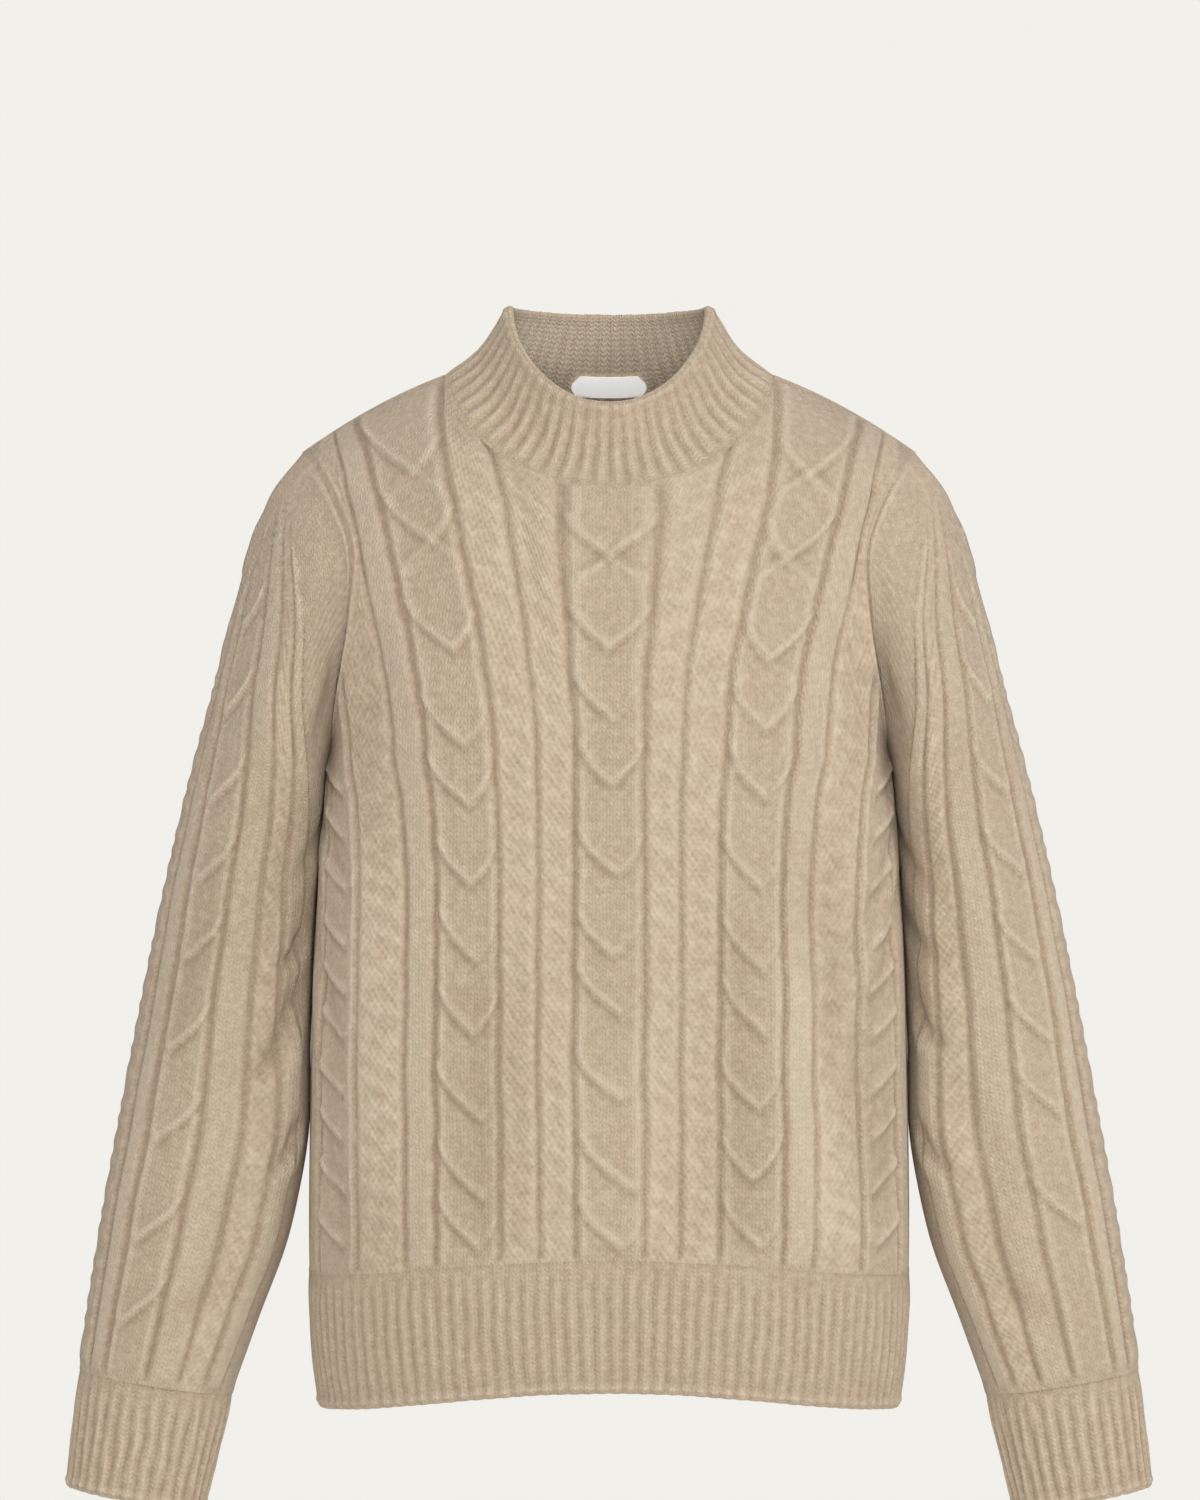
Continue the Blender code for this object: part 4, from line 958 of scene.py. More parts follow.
# %% The group that knits stitches
def stitch_group():
    """Raised stitches: V shapes, or pebbles where the moss input is 1, and loose fibres over both."""
    inputs = {
        "Knit Place": ("Vector", None),
        "Object Place": ("Vector", None),
        "Stitch Width": ("Float", 0.0042),
        "Stitch Height": ("Float", 0.0031),
        "Relief": ("Float", 0.0004),
        "Moss": ("Float", 0.0),
        "Fibres": ("Float", 0.5),
    }
    tree, given, made = new_group("knitted stitches", inputs, {"Height": "Float", "Crest": "Float"})
    split = tree.nodes.new("ShaderNodeSeparateXYZ")
    tree.links.new(given["Knit Place"], split.inputs[0])
    wobble = stretch(tree, noise(tree, given["Object Place"], 140.0), 0.0, 1.0, -0.35, 0.35)
    x = calc(tree, "ADD", calc(tree, "DIVIDE", split.outputs[0], given["Stitch Width"]), wobble)
    y = calc(tree, "ADD", calc(tree, "DIVIDE", split.outputs[1], given["Stitch Height"]), wobble)
    off = calc(tree, "ABSOLUTE", calc(tree, "SUBTRACT", calc(tree, "FRACT", x), 0.5))
    leg = calc(tree, "MULTIPLY", calc(tree, "SUBTRACT", y, calc(tree, "MULTIPLY", off, 1.3)), 2 * math.pi)
    strand = calc(tree, "MULTIPLY_ADD", calc(tree, "COSINE", leg), 0.5, 0.5)
    across = calc(tree, "ABSOLUTE", calc(tree, "SINE", calc(tree, "MULTIPLY", off, 2 * math.pi)))
    vee = calc(tree, "MULTIPLY", calc(tree, "POWER", strand, 0.6), calc(tree, "POWER", across, 0.7))
    sway = calc(tree, "SINE", calc(tree, "MULTIPLY", x, 2 * math.pi))
    swing = calc(tree, "SINE", calc(tree, "MULTIPLY", y, math.pi))
    pebble = calc(tree, "MULTIPLY_ADD", calc(tree, "MULTIPLY", sway, swing), 0.5, 0.5)
    crest = calc(tree, "ADD", vee, calc(tree, "MULTIPLY", calc(tree, "SUBTRACT", pebble, vee), given["Moss"]))
    fluff = calc(tree, "MULTIPLY", noise(tree, given["Object Place"], 1500.0, 3.0, 0.65), given["Fibres"])
    height = calc(tree, "MULTIPLY", calc(tree, "ADD", crest, fluff), given["Relief"])
    tree.links.new(height, made["Height"])
    tree.links.new(crest, made["Crest"])
    return tree


STITCHES = stitch_group()


# %% The group that heathers the yarn
STITCH_SHADE, PEBBLE_SHADE = 0.12, 0.03  # between the stitches, and how much more between pebbles


def heather_group():
    """Mixed fibres in three tones, broad warm and cool patches, painted shade in the hollows and painted
    light on the crests.
    """
    inputs = {
        "Object Place": ("Vector", None),
        "Lift": ("Float", 0.0),
        "Crest": ("Float", 0.5),
        "Moss": ("Float", 0.0),
        "Light": ("Color", (0.7, 0.6, 0.45, 1)),
        "Middle": ("Color", (0.6, 0.5, 0.35, 1)),
        "Dark": ("Color", (0.45, 0.33, 0.22, 1)),
        "Patches": ("Float", 0.3),
        "Hollow Shade": ("Float", 0.4),
        "Crest Light": ("Float", 0.3),
    }
    tree, given, made = new_group("heathered yarn", inputs, {"Color": "Color", "Roughness": "Float"})
    fine = noise(tree, given["Object Place"], 700.0, 3.0, 0.65)
    specks = noise(tree, given["Object Place"], 240.0, 2.0, 0.55)
    broad = noise(tree, given["Object Place"], 30.0, 3.0, 0.6)
    colour = mix_colours(tree, stretch(tree, fine, 0.34, 0.66), given["Dark"], given["Middle"])
    colour = mix_colours(tree, stretch(tree, specks, 0.40, 0.72), colour, given["Light"])
    tint = mix_colours(tree, stretch(tree, broad, 0.38, 0.62), (1.0, 0.955, 0.94, 1), (0.985, 1.0, 0.945, 1))
    colour = mix_colours(tree, given["Patches"], colour, mix_colours(tree, 1.0, colour, tint, "MULTIPLY"))
    # Painted shade in the hollows and between the stitches, painted light on the crests
    hollow = calc(tree, "MULTIPLY", stretch(tree, given["Lift"], -0.15, -1.5), given["Hollow Shade"])
    deep = calc(tree, "MULTIPLY_ADD", given["Moss"], PEBBLE_SHADE, STITCH_SHADE)
    between = calc(tree, "MULTIPLY", stretch(tree, given["Crest"], 0.5, 0.0), deep)
    shade = calc(tree, "MINIMUM", calc(tree, "ADD", hollow, between), 1.0)
    shadow = mix_colours(tree, 1.0, colour, (0.50, 0.43, 0.36, 1), "MULTIPLY")
    colour = mix_colours(tree, shade, colour, shadow)
    lit = calc(tree, "MULTIPLY", stretch(tree, given["Lift"], 0.2, 1.3), given["Crest Light"])
    tree.links.new(mix_colours(tree, lit, colour, (0.79, 0.685, 0.545, 1)), made["Color"])
    tree.links.new(stretch(tree, fine, 0.2, 0.8, 0.82, 0.98), made["Roughness"])
    return tree


HEATHER = heather_group()
print(len(STITCHES.nodes), "nodes for the stitches,", len(HEATHER.nodes), "for the heather")


# %% Knitted materials
Yarn = namedtuple(
    "Yarn", "light middle dark stitch_width stitch_height relief fibres hollow_shade crest_light"
)
CABLED = Yarn(
    (0.57, 0.463, 0.356), (0.515, 0.411, 0.310), (0.44, 0.342, 0.250), 0.0042, 0.0031, 0.0006, 0.6, 0.38, 0.30
)
RIBBED = Yarn(
    (0.56, 0.448, 0.338), (0.50, 0.393, 0.291), (0.435, 0.334, 0.241), 0.0045, 0.0030, 0.0006, 0.6, 0.50, 0.4
)


def with_alpha(colour):
    return (*colour, 1.0)


def knitted(name, yarn):
    """A wool material: fibres and stitches from the groups, a soft sheen from the shader."""
    material = bpy.data.materials.new(name)
    material.use_nodes = True
    tree = material.node_tree
    shader = tree.nodes["Principled BSDF"]
    shader.inputs["Sheen Weight"].default_value = 0.25
    shader.inputs["Sheen Roughness"].default_value = 0.55
    shader.inputs["Sheen Tint"].default_value = (1.0, 0.93, 0.82, 1)
    shader.inputs["Specular IOR Level"].default_value = 0.25
    knit_place = place_node(tree, "UVMap", uv_map="yarn")
    object_place = tree.nodes.new("ShaderNodeTexCoord").outputs["Object"]
    # The lift attribute carries painted shade and light: darker in hollows and folds, lighter on crests
    lift, moss = tree.nodes.new("ShaderNodeAttribute"), tree.nodes.new("ShaderNodeAttribute")
    lift.attribute_name, moss.attribute_name = "lift", "moss"
    stitches = tree.nodes.new("ShaderNodeGroup")
    stitches.node_tree = STITCHES
    for label, value in (("Knit Place", knit_place), ("Object Place", object_place)):
        tree.links.new(value, stitches.inputs[label])
    stitches.inputs["Stitch Width"].default_value = yarn.stitch_width
    stitches.inputs["Stitch Height"].default_value = yarn.stitch_height
    stitches.inputs["Relief"].default_value = yarn.relief
    stitches.inputs["Fibres"].default_value = yarn.fibres
    tree.links.new(moss.outputs["Fac"], stitches.inputs["Moss"])
    heather = tree.nodes.new("ShaderNodeGroup")
    heather.node_tree = HEATHER
    tree.links.new(object_place, heather.inputs["Object Place"])
    tree.links.new(lift.outputs["Fac"], heather.inputs["Lift"])
    tree.links.new(stitches.outputs["Crest"], heather.inputs["Crest"])
    tree.links.new(moss.outputs["Fac"], heather.inputs["Moss"])
    for label, colour in (("Light", yarn.light), ("Middle", yarn.middle), ("Dark", yarn.dark)):
        heather.inputs[label].default_value = with_alpha(colour)
    heather.inputs["Patches"].default_value = 0.7
    heather.inputs["Hollow Shade"].default_value = yarn.hollow_shade
    heather.inputs["Crest Light"].default_value = yarn.crest_light
    bump = tree.nodes.new("ShaderNodeBump")
    bump.inputs["Distance"].default_value = 1.0
    tree.links.new(stitches.outputs["Height"], bump.inputs["Height"])
    tree.links.new(heather.outputs["Color"], shader.inputs["Base Color"])
    tree.links.new(heather.outputs["Roughness"], shader.inputs["Roughness"])
    tree.links.new(bump.outputs["Normal"], shader.inputs["Normal"])
    return material


cabled_wool = knitted("cabled_wool", CABLED)
ribbed_wool = knitted("ribbed_wool", RIBBED)

# %% [markdown]
# ## The front and the back
#
# Both panels reach from the hem rib to the neck and shoulder seams. At their outer ends they turn to face
# the sleeve, so the two walls meet edge to edge along the armhole, where the seam allowance makes a small
# double ridge with a dip between.

# %% Front and back
Panel = namedtuple("Panel", "name facing rows_below rows_above half_columns crossings")
PANELS = (
    Panel("front", FRONT, 196, 104, 152, (FRONT_CENTRE, FRONT_RIGHT_HAND, FRONT_LEFT_HAND)),
    Panel("back", BACK, 160, 88, 136, BACK_CABLES),
)
SEAM_RIDGE, SEAM_RIDGE_OFF, SEAM_RIDGE_HALF = 1.7, 3.6, 2.2
SEAM_DIP, SEAM_DIP_HALF = 0.5, 2.0
SEAM_LIFT = 0.6  # the knit's height where a rib is joined on
SHOULDER_FACING = unit(np.array([0.45, 0.0, 0.9]))
AGAINST_SLEEVE = 0.45  # no more than this stands out at the body's side, where the sleeve lies against it
UNDER_THE_ARM = (-215.0, -245.0)  # between these heights the sleeve and the body start to lie side by side
FOLD_PAINTED_SHADING = 0.22  # painted shade in a fold's trough and painted light on its crest, beside the pattern's own height


def seam_shape(distance):
    """A sewn seam's height: a dip, and a ridge on this side of it."""
    crest = SEAM_RIDGE * ridge(distance - SEAM_RIDGE_OFF, SEAM_RIDGE_HALF)
    return crest - SEAM_DIP * ridge(distance, SEAM_DIP_HALF)


def knit_panel(panel):
    """One panel of the body with its folds and its pattern."""
    places = mesh_places(PANEL_GROOVES, PANEL_CABLES, QUARTER_ROUND, panel.half_columns)
    surface = body_surface(panel.facing, panel.rows_below, panel.rows_above, places)
    grid, across, up = surface.grid, surface.across, surface.up
    sign = np.sign(across)
    normal = surface_normals(grid, points(0.45 * sign * up, panel.facing, 0.35 + 0.4 * up))
    side = armhole_facing(panel.facing, up)
    side[..., 0] *= sign
    side = np.where((up > 0)[..., None], side, points(sign, 0.0, 0.0 * up))
    near_side = smooth_step(9.0, 0.0, surface.from_edge)[..., None]
    share = np.abs(across) * COLUMN_SPREAD[-1].factor / QUARTER_ROUND
    turn = 0.25 * np.clip(share / NECK_SHARE, 0, 1) ** NECK_CROWDING
    turn = sign * turn if panel.facing == FRONT else 0.5 - sign * turn
    at_neck = share <= NECK_SHARE
    shoulder = points(sign * SHOULDER_FACING[0], 0.0, SHOULDER_FACING[2] + 0 * up)
    top = np.where(at_neck[..., None], neck_facing(turn), shoulder)
    near_top = smooth_step(0.95, 1.0, up)[..., None]
    normal = unit(normal + near_top * (top - normal))
    normal = unit(normal + near_side * (side - normal))
    z = grid[..., 2]
    fold = big_folds(BIG_FOLDS[panel.facing], across, z) + creases(CREASES[panel.facing], across, z)
    ease = smooth_step(0.0, 14.0, surface.from_edge) * smooth_step(1.0, 0.93, up)
    ease = ease * smooth_step(0.0, 12.0, surface.along)
    base = grid + normal * (fold * ease)[..., None]
    level = z if panel.facing == FRONT else UNDERARM_Z + surface.along - surface.along[panel.rows_below]
    pattern = panel_relief(across, surface.along, level, *panel.crossings, SIDE_DIAGONALS)
    pattern = pattern * smooth_step(2.0, 9.0, surface.from_edge) * kept_width(grid, across)
    whole = smooth_step(0.0, 4.0, surface.along) * smooth_step(1.0, 0.975, up)
    pattern = SEAM_LIFT + (pattern - SEAM_LIFT) * whole
    above = smooth_step(0.0, 0.12, up) * smooth_step(1.0, 0.82, up)
    lift = pattern + above * seam_shape(surface.from_edge)
    total = fold * ease + lift
    against = smooth_step(24.0, 10.0, surface.from_edge) * smooth_step(*UNDER_THE_ARM, z)
    total = total + against * (np.minimum(total, AGAINST_SLEEVE) - total)
    outer = grid + normal * total[..., None]
    inner = base - normal * WALL
    walked = walk_across(grid)
    yarn = np.stack([walked - walked[:, panel.half_columns, None], surface.along], -1)
    # Painted shade and light: the pattern's hollows and the folds' troughs are darkened, their crests
    # lightened
    painted_shading = stand_out(lift) + FOLD_PAINTED_SHADING * fold * ease
    marks = {"lift": painted_shading, "moss": pebbled(across, PANEL_COLUMNS)}
    return wall(panel.name + "_knit", outer, inner, yarn, marks, cabled_wool, flip=panel.facing == BACK)


pieces = {panel.name: knit_panel(panel) for panel in PANELS}

# %% [markdown]
# ## The sleeves
#
# A sleeve starts as the armhole's own outline and turns into an oval further down. A wavy strip runs down
# its outer edge, where it makes the outline bumpy, and a cable runs beside it, in front and behind.

# %% Sleeves
SleeveColumn = namedtuple("SleeveColumn", "kind inner outer")
SLEEVE_COLUMNS = (
    SleeveColumn("strip", 26.0, 41.0),
    SleeveColumn("cable", 41.0, 71.0),
    SleeveColumn("strip", 71.0, 92.0),
    SleeveColumn("rope", 92.0, 110.0),
    SleeveColumn("strip", 110.0, 126.0),
)
SLEEVE_HALF_ROUND = 153.0
SLEEVE_EDGE_BAND = 26.0
SLEEVE_ROWS, SLEEVE_HALF_COLUMNS = 320, 96
Fan = namedtuple("Fan", "height share")
SLEEVE_FAN = (  # how wide the columns have become at each height, on their way down from the shoulder
    Fan(-60, 0.15),
    Fan(-97, 0.30),
    Fan(-142, 0.52),
    Fan(-200, 0.68),
    Fan(-245, 0.84),
    Fan(-320, 1.00),
)
PRESSED, PRESSED_LIFT = (131.0, 145.0), 0.62  # its inner line stands just clear of the body
PARTING = (-505.0, -465.0)  # where the sleeve leaves the body again
MOVED_OUT = (-235.0, -275.0)
PAINTED_FILL_LIGHT = 0.9  # painted light where the sleeve lies against the body and beside the armhole, where little light falls
SLEEVE_WIDTH, SLEEVE_SLANT = 95.0, math.cos(math.radians(13.6))
SLEEVE_GROOVES = [SLEEVE_EDGE_BAND] + [column.outer for column in SLEEVE_COLUMNS]
SLEEVE_CABLES = {
    1: [Crossing(z, 9, 0.25) for z in (-92, -150, -197, -253, -302, -355, -404, -448, -517)],
    -1: [Crossing(z, 9, 0.25) for z in (-98, -152, -205, -259, -308, -355, -410, -466, -527, -578)],
}
BACK_SLEEVE_CABLES = even_crossings(-110, -590, 50, -4, 0.3, 9)
SLEEVE_CREASES = {
    1: (
        Crease(-150, -262, -104, -330, 7, -2.4),
        Crease(-148, -318, -96, -372, 8, -2.8),
        Crease(-130, -380, -102, -414, 5, -4.2),
        Crease(-128, -452, -106, -490, 5, -4.2),
        Crease(-104, -240, -98, -400, 9, -2.4),
        Crease(-98, -400, -84, -520, 9, -2.4),
        Crease(-56, -80, -84, -150, 9, -2.6),
        Crease(-96, -150, -126, -240, 9, -2.6),
        Crease(-118, -540, -70, -590, 9, -2.0),
        Crease(140, -270, 80, -330, 8, -2.8),
        Crease(146, -330, 70, -396, 8, -3.2),
        Crease(130, -410, 84, -480, 9, -2.4),
        Crease(60, -70, 90, -120, 9, -1.8),
    ),
    -1: (
        Crease(-150, -250, -112, -322, 7, -2.4),
        Crease(-130, -336, -108, -364, 5, -4.6),
        Crease(-130, -372, -90, -436, 6, -5.2),
        Crease(-128, -450, -108, -488, 5, -4.8),
        Crease(-106, -235, -98, -400, 9, -2.6),
        Crease(-98, -396, -108, -470, 9, -2.4),
        Crease(-58, -84, -82, -146, 9, -2.8),
        Crease(-94, -150, -124, -240, 9, -3.0),
        Crease(-98, -205, -94, -455, 24, -5.0),
        Crease(-52, -270, -56, -430, 24, -3.0),
        Crease(-110, -548, -64, -592, 9, -2.0),
        Crease(146, -262, 92, -318, 8, -3.0),
        Crease(140, -345, 74, -400, 8, -2.8),
        Crease(134, -420, 90, -500, 9, -2.4),
        Crease(66, -78, 92, -126, 9, -1.8),
    ),
}


def knit_across(grid, turn):
    """How far round the sleeve each place lies in the knit, from the outer line."""
    outer_x = np.interp(-grid[..., 2], [-row.out_z for row in SLEEVE], [row.out_x for row in SLEEVE])
    off = (outer_x - grid[..., 0]) * SLEEVE_SLANT / read(SLEEVE_FAN, grid[..., 2]).share
    fanned = np.sign(turn) * np.arccos(np.clip(1 - 2 * off / SLEEVE_WIDTH, -1, 1)) / math.pi
    return SLEEVE_HALF_ROUND * (fanned + (turn - fanned) * smooth_step(-240.0, -320.0, grid[..., 2]))


def sleeve_relief(across, along, z, cables):
    """A sleeve's pattern. across is 0 on the outer line, below 0 in front and above 0 behind."""
    across = across + 0.9 * wander(z, 170.0, 21)
    ends = smooth_step(SLEEVE_EDGE_BAND, SLEEVE_EDGE_BAND - 6, np.abs(across))
    ends = ends * smooth_step(-80.0, -160.0, z)
    waves = 0.38 * np.cos(2 * math.pi * along / 14.2 + 2.5 * wander(along, 90.0, 22)) * ends
    height = np.where(np.abs(across) < SLEEVE_EDGE_BAND, strip(across, SLEEVE_EDGE_BAND) + waves, 0.0)
    for column in SLEEVE_COLUMNS:
        half_width = (column.outer - column.inner) / 2
        for side in (-1, 1):
            s = side * across - (column.inner + column.outer) / 2
            if column.kind == "strip":
                shape = strip(s, half_width)
            elif column.kind == "rope":
                shape = rope(s, half_width, along)
            else:
                shape = cable(-s, half_width, z, cables if side < 0 else BACK_SLEEVE_CABLES)
            height = height + np.where(np.abs(s) < half_width, shape, 0.0)
    return height


def knit_sleeve(name, side):
    """A sleeve from the armhole seam to the cuff seam. side is 1 for the wearer's left arm."""
    cables = [(column.inner, column.outer) for column in SLEEVE_COLUMNS if column.kind == "cable"]
    half = mesh_places(SLEEVE_GROOVES, cables, SLEEVE_HALF_ROUND, SLEEVE_HALF_COLUMNS) / SLEEVE_HALF_ROUND
    surface = tube_surface(SLEEVE, SLEEVE_ROWS, np.concatenate([-half[::-1], half[1:-1]]), CAP_SHARE)
    grid = surface.grid
    across = surface.across * SLEEVE_HALF_ROUND
    normal = surface_normals(grid, outward_of(grid), closed=True)
    seam_up = 1 - np.abs(surface.across)
    seam = np.where(
        (surface.across < 0)[..., None], armhole_facing(FRONT, seam_up), armhole_facing(BACK, seam_up)
    )
    near_seam = smooth_step(0.03, 0.0, surface.up)[..., None]
    normal = unit(normal + near_seam * (seam - normal))
    z = grid[..., 2]
    fold = big_folds(BIG_SLEEVE_FOLDS, surface.across, z) + creases(SLEEVE_CREASES[side], across, z)
    ease = smooth_step(0.0, 0.06, surface.up) * smooth_step(1.0, 0.96, surface.up)
    base = grid + normal * (fold * ease)[..., None]
    in_knit = knit_across(grid, surface.across)
    pattern = sleeve_relief(in_knit, surface.along, z, SLEEVE_CABLES[side])
    pattern = pattern * smooth_step(0.012, 0.05, surface.up) * kept_width(grid, in_knit)
    pattern = SEAM_LIFT + (pattern - SEAM_LIFT) * smooth_step(1.0, 0.985, surface.up)
    pressed = smooth_step(*PRESSED, np.abs(across)) * smooth_step(*UNDER_THE_ARM, z)
    pressed = pressed * smooth_step(*PARTING, z)
    lift = pattern + seam_shape(surface.from_edge) * smooth_step(0.0, 0.2, np.abs(surface.across))
    total = fold * ease + lift
    moved_out = PRESSED_LIFT * smooth_step(*MOVED_OUT, z)
    total = total + pressed * (np.minimum(total + moved_out, moved_out) - total)
    outer = grid + normal * total[..., None]
    inner = base - normal * WALL
    mirror = np.array([side, 1.0, 1.0])
    yarn = np.stack([across, surface.along], -1)
    yarn = np.concatenate([yarn, yarn[:, :1] + np.array([2 * SLEEVE_HALF_ROUND, 0.0])], axis=1)
    # Painted light beside the armhole and where the sleeve lies against the body, added to the painted shade
    # and light of the pattern and folds
    near_armhole = ridge(surface.from_edge, 16.0) * smooth_step(-90.0, -140.0, z)
    painted_fill_light = PAINTED_FILL_LIGHT * np.maximum(pressed, near_armhole)
    painted_shading = stand_out(lift, closed=True) + FOLD_PAINTED_SHADING * fold * ease + painted_fill_light
    marks = {"lift": painted_shading, "moss": pebbled(in_knit, SLEEVE_COLUMNS)}
    outer, inner = outer * mirror, inner * mirror
    return wall(name + "_knit", outer, inner, yarn, marks, cabled_wool, closed=True, flip=side > 0)


pieces["sleeve_left"] = knit_sleeve("sleeve_left", 1)
pieces["sleeve_right"] = knit_sleeve("sleeve_right", -1)

# %% [markdown]
# ## Ribbing
#
# Collar, cuffs and hem are knitted two stitches up, two down, which draws them in. Each is a tube whose
# profile runs down the outside, turns round the open edge and comes back up the inside, so the edge is
# rounded and never a sharp cut. The ribs stand up on the outside and show again, softer, on the inside.

# %% Ribs
Strength = namedtuple("Strength", "down share")
Rib = namedtuple("Rib", "count height strength sway inner_rows round")
EVEN = (
    Strength(0.0, 0.15),
    Strength(0.1, 0.6),
    Strength(0.25, 1.0),
    Strength(0.9, 0.95),
    Strength(1.0, 0.6),
)
TO_THE_RIM = (
    Strength(0.0, 0.15),
    Strength(0.1, 0.75),
    Strength(0.35, 0.85),
    Strength(0.8, 0.5),
    Strength(1.0, 0.2),
)
HEM = Rib(116, 1.5, EVEN, 0.09, 12, 4 * QUARTER_ROUND)
CUFFS = Rib(32, 1.7, EVEN, 0.14, 20, 216.0)
COLLAR = Rib(57, 2.3, TO_THE_RIM, 0.06, 26, 470.0)
RIM_BEAD, RIM_BEAD_OFF, RIM_BEAD_HALF = 1.1, 2.0, 2.0  # the last rows before an open edge stand out a little
INNER_RIB_SHARE = 0.6
INNER_PAINTED_LIGHT = 1.2  # painted light on the wrong side, which the tube shades
# painted highlight on the rounded open edge
RIM_PAINTED_HIGHLIGHT = 0.5
RIM_STEPS = 6
JOIN_REACH = 0.35  # its first row reaches across the seam's gap


def rib_shape(rib, turns, down, seed):
    """Rounded ribs with narrow grooves between them, swaying a little: 1 on a crest and 0 in a groove."""
    swayed = turns + rib.sway / rib.count * wander(down + 3.0 * np.sin(2 * math.pi * turns), 1.1, seed)
    wave = 0.5 - 0.5 * np.cos(2 * math.pi * rib.count * swayed)
    return wave**0.7 * read(rib.strength, down).share


def ribbed_tube(name, rings, turns, rib, side=1, flip=False, first_normal=None):
    """A ribbed tube's wall from its rings, which run from the seam to the open edge."""
    normal = surface_normals(rings, outward_of(rings), closed=True)
    if first_normal is not None:
        near = smooth_step(0.2, 0.0, np.linspace(0, 1, len(rings)))[:, None, None]
        normal = unit(normal + near * (first_normal - normal))
    rows = len(rings)
    down = np.linspace(0, 1, rows)[:, None]
    steps = np.linalg.norm(np.diff(rings, axis=0), axis=-1).mean(axis=1)
    along = np.concatenate([[0.0], np.cumsum(steps)])
    shape = rib_shape(rib, turns, down + 0.0 * turns, len(name))
    lift = rib.height * shape
    lift = lift + 0.35 * wander(turns * 40 + down * 3, 5.0, len(name)) * smooth_step(0, 0.1, down)
    lift = lift + RIM_BEAD * ridge(along[-1] - along[:, None] - RIM_BEAD_OFF, RIM_BEAD_HALF)
    outer = rings + normal * lift[..., None]
    outer[0] = outer[0] + unit(rings[0] - rings[1]) * JOIN_REACH
    kept = np.linspace(rows - 1, 0, rib.inner_rows).round().astype(int)
    inner_lift = -WALL - rib.height * INNER_RIB_SHARE * (1 - shape)
    inner = rings + normal * inner_lift[..., None]
    edge_run = unit(rings[-1] - rings[-2])
    middle, half = (outer[-1] + inner[-1]) / 2, (outer[-1] - inner[-1]) / 2
    thick = np.linalg.norm(half, axis=-1, keepdims=True)
    rim = []
    for k in range(1, RIM_STEPS):
        angle = math.pi * k / RIM_STEPS
        rim.append(middle + half * math.cos(angle) + edge_run * thick * math.sin(angle))
    profile = np.concatenate([outer, np.array(rim), inner[kept]])
    length = along[-1]
    run = np.concatenate([along, np.full(RIM_STEPS - 1, length + 2.0), 2 * length + 4.0 - along[kept]])
    around = np.concatenate([turns[0], [turns[0, 0] + 1.0]]) * rib.round
    yarn = np.stack(np.broadcast_arrays(around[None, :], run[:, None]), -1)
    # Painted light and shade: ribs lighter on their crests and darker between, the rim and the inside
    # lightened
    rim_painted_highlight = np.full((RIM_STEPS - 1, rings.shape[1]), RIM_PAINTED_HIGHLIGHT)
    inner_painted_light = INNER_PAINTED_LIGHT - stand_out(inner_lift, closed=True)[kept]
    marks = {"lift": np.concatenate([stand_out(lift, closed=True), rim_painted_highlight, inner_painted_light])}
    profile = profile * np.array([side, 1.0, 1.0])
    return rolled_tube(name + "_knit", profile, yarn, marks, ribbed_wool, flip=flip)


# %% Cuffs
CUFF_ROWS, CUFF_AROUND = 44, 312


def knit_cuff(name, side):
    """The ribbed cuff below a sleeve."""
    surface = tube_surface(CUFF, CUFF_ROWS, -1 + 2 * np.arange(CUFF_AROUND) / CUFF_AROUND)
    return ribbed_tube(name, surface.grid, (surface.across + 1) / 2, CUFFS, side=side, flip=side > 0)


pieces["cuff_left"] = knit_cuff("cuff_left", 1)
pieces["cuff_right"] = knit_cuff("cuff_right", -1)

# %% Hem
HEM_ROWS, HEM_AROUND = 44, 832


def knit_hem():
    """The ribbed band round the hem, which rides up at the front."""
    turn = np.arange(HEM_AROUND) / HEM_AROUND  # from the wearer's left side by way of the front
    quarter = np.floor(turn * 4).astype(int)
    part = turn * 4 - quarter
    share = np.where(quarter % 2 == 0, 1 - part, part)
    facing = np.where(quarter < 2, FRONT, BACK)
    down = np.linspace(0, 1, HEM_ROWS + 1)[:, None]
    sides = []
    for way in (FRONT, BACK):
        seam = hem_level(share, way, HEM_SEAM_SIDE_Z, HEM_SEAM_FRONT_RISE)
        edge = hem_level(share, way, HEM_EDGE_SIDE_Z, HEM_EDGE_FRONT_RISE)
        sides.append(torso_point(way, share + 0 * down, seam + (edge - seam) * down))
    rings = np.where((facing == FRONT)[None, :, None], *sides)
    rings[..., 0] *= np.where((quarter == 0) | (quarter == 3), 1, -1)
    return ribbed_tube("hem_rib", rings, turn[None, :] + 0 * down, HEM)


pieces["hem_rib"] = knit_hem()

# %% Collar
COLLAR_ROWS, COLLAR_AROUND = 48, 744
COLLAR_HOLLOW = 12.5  # how far its side curves in above the seam
RIM_ROLL, RIM_ROLL_FROM = 1.2, 0.75


def collar_point(turn, up):
    """Points of the collar between its seam and its rim."""
    low, high = ring_point(NECK_SEAM, turn), ring_point(COLLAR_RIM, turn)
    outward = points(np.sin(2 * math.pi * turn), -np.cos(2 * math.pi * turn), 0.0)
    bend = RIM_ROLL * smooth_step(RIM_ROLL_FROM, 1.0, up) - COLLAR_HOLLOW * (1 - up) * np.sin(math.pi * up)
    return low + (high - low) * up[..., None] + outward * bend[..., None]


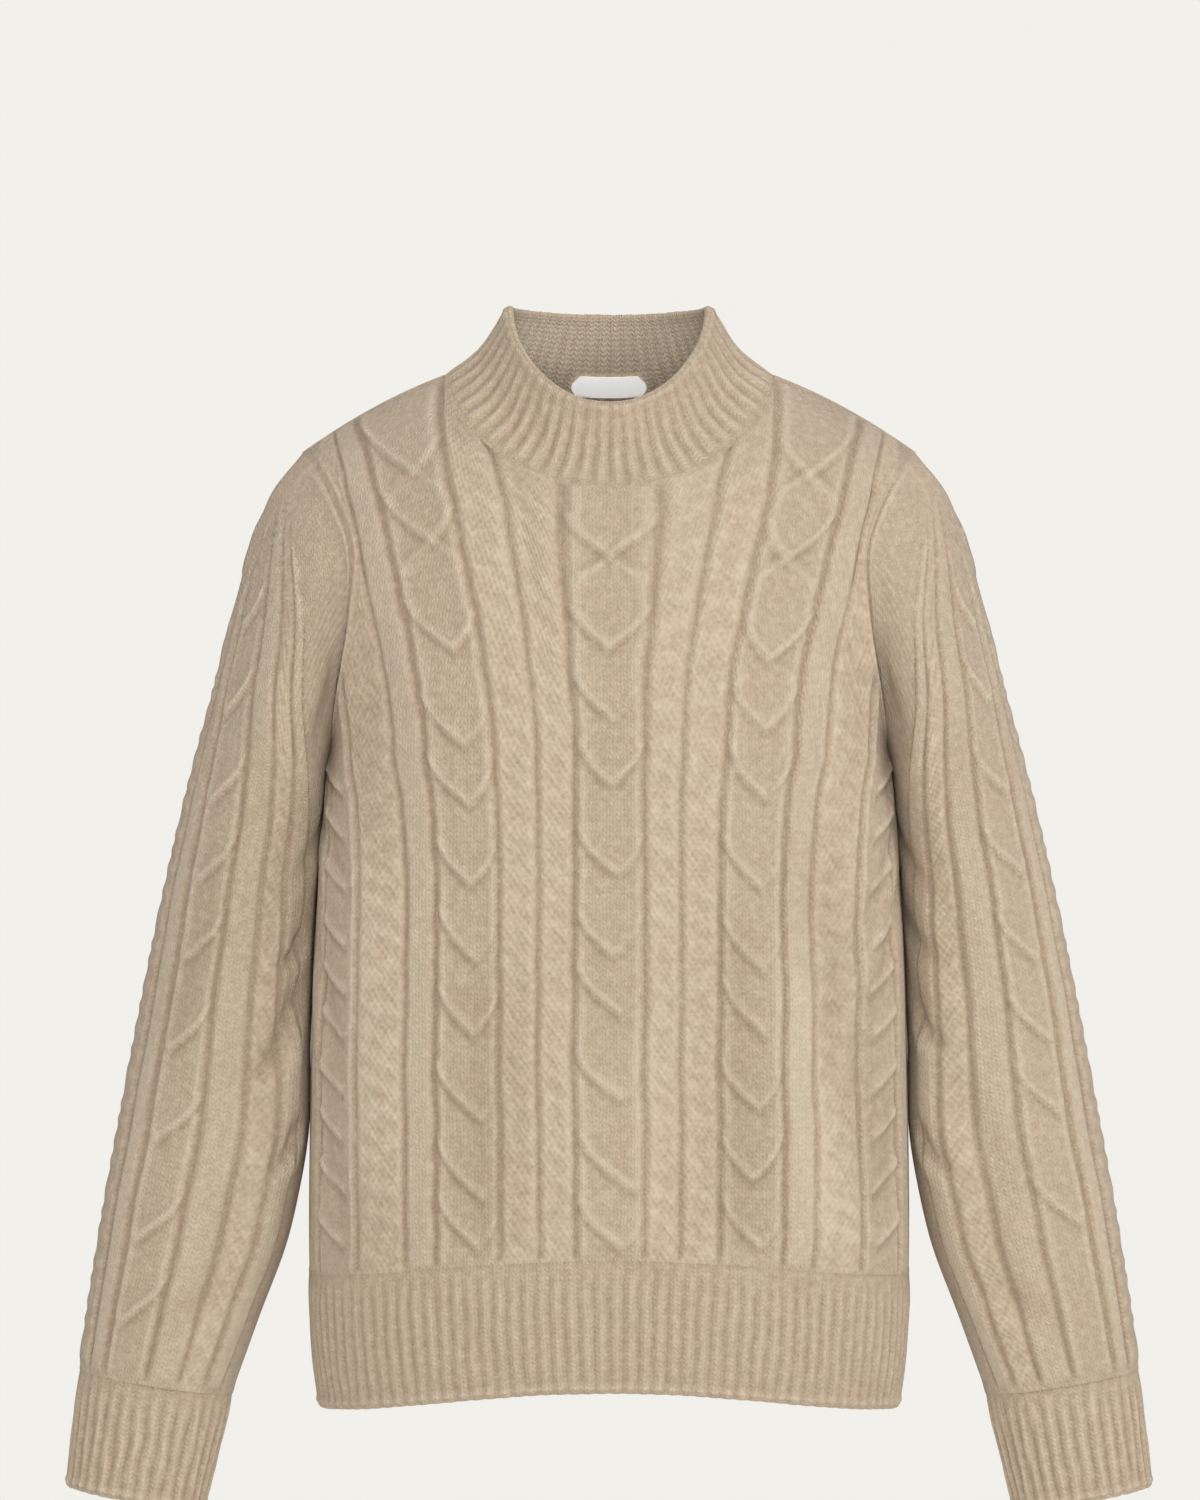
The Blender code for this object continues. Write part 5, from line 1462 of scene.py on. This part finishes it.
def knit_collar():
    """The ribbed mock neck, open at its rim."""
    turn = np.arange(COLLAR_AROUND)[None, :] / COLLAR_AROUND + np.zeros((COLLAR_ROWS + 1, 1))
    up = np.linspace(0, 1, COLLAR_ROWS + 1)[:, None] + 0 * turn
    rings = collar_point(turn, up)
    return ribbed_tube("collar", rings, turn, COLLAR, first_normal=neck_facing(turn[0])[None])


pieces["collar"] = knit_collar()

# %% [markdown]
# ## The label
#
# A small blank tape lies inside the back of the collar. It follows the collar's curve, and its corners are
# cut off.

# %% Label
LABEL_WIDTH, LABEL_HEIGHT, LABEL_WALL, LABEL_ABOVE_SEAM, LABEL_ROUND = 55.0, 14.0, 0.8, 7.0, 94.0
LABEL_CUT = 5.0  # off each corner
LABEL_PAINTED_GLOW = 0.34  # painted light: the tape glows a little, to look white in the collar's shade


def woven_tape():
    """White woven tape with a fine weave and a faint painted glow."""
    material = bpy.data.materials.new("white_tape")
    material.use_nodes = True
    tree = material.node_tree
    shader = tree.nodes["Principled BSDF"]
    place = place_node(tree, "UVMap", uv_map="yarn")
    split = tree.nodes.new("ShaderNodeSeparateXYZ")
    tree.links.new(place, split.inputs[0])
    warp = calc(tree, "SINE", calc(tree, "MULTIPLY", split.outputs[0], 2 * math.pi / 0.0009))
    weft = calc(tree, "SINE", calc(tree, "MULTIPLY", split.outputs[1], 2 * math.pi / 0.0007))
    weave = calc(tree, "MULTIPLY_ADD", calc(tree, "MULTIPLY", warp, weft), 0.5, 0.5)
    colour = mix_colours(tree, weave, (0.93, 0.925, 0.905, 1), (0.97, 0.965, 0.95, 1))
    tree.links.new(colour, shader.inputs["Base Color"])
    # Painted light: a faint glow on the tape
    shader.inputs["Emission Color"].default_value = (1.0, 0.995, 0.975, 1)
    shader.inputs["Emission Strength"].default_value = LABEL_PAINTED_GLOW
    bump = tree.nodes.new("ShaderNodeBump")
    bump.inputs["Distance"].default_value = 1.0
    tree.links.new(calc(tree, "MULTIPLY", weave, 0.00012), bump.inputs["Height"])
    tree.links.new(bump.outputs["Normal"], shader.inputs["Normal"])
    shader.inputs["Roughness"].default_value = 0.6
    return material


def sew_label():
    """The label's wall, with its corners cut off."""
    rows, columns = 8, 40
    inside = WALL + COLLAR.height * INNER_RIB_SHARE + SEAM_GAP
    half_turn = LABEL_WIDTH / 2 / (2 * math.pi * LABEL_ROUND)
    slope = collar_point(np.array([0.5]), np.array([1.0])) - collar_point(np.array([0.5]), np.array([0.0]))
    length = float(np.linalg.norm(slope))
    through = unit(np.cross(np.array([1.0, 0.0, 0.0]), slope[0]))
    through = -through if through[1] > 0 else through
    i, j = np.meshgrid(np.arange(rows + 1) / rows, np.arange(columns + 1) / columns, indexing="ij")
    rise = i * LABEL_HEIGHT
    end = LABEL_WIDTH / 2 - np.clip(LABEL_CUT - np.minimum(rise, LABEL_HEIGHT - rise), 0, None)
    across = (2 * j - 1) * end
    turn = 0.5 - half_turn * across / (LABEL_WIDTH / 2)
    point = collar_point(turn, (LABEL_ABOVE_SEAM + rise) / length)
    normal = unit(through - points(point[..., 0] / LABEL_ROUND, 0.0, 0.0))
    front = point + normal * (inside + LABEL_WALL)
    back = point + normal * inside
    yarn = np.stack([across, rise], -1)
    return wall("neck_label_tape", front, back, yarn, {}, woven_tape())


pieces["neck_label"] = sew_label()

# %% [markdown]
# ## Joining the frame
#
# Each fine piece now takes the place of the frame's wall with its name, and hangs from the root body.

# %% Pieces take their places
Cut = namedtuple("Cut", "width length area held")

for name, piece in pieces.items():
    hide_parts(name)
    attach(piece, "root")
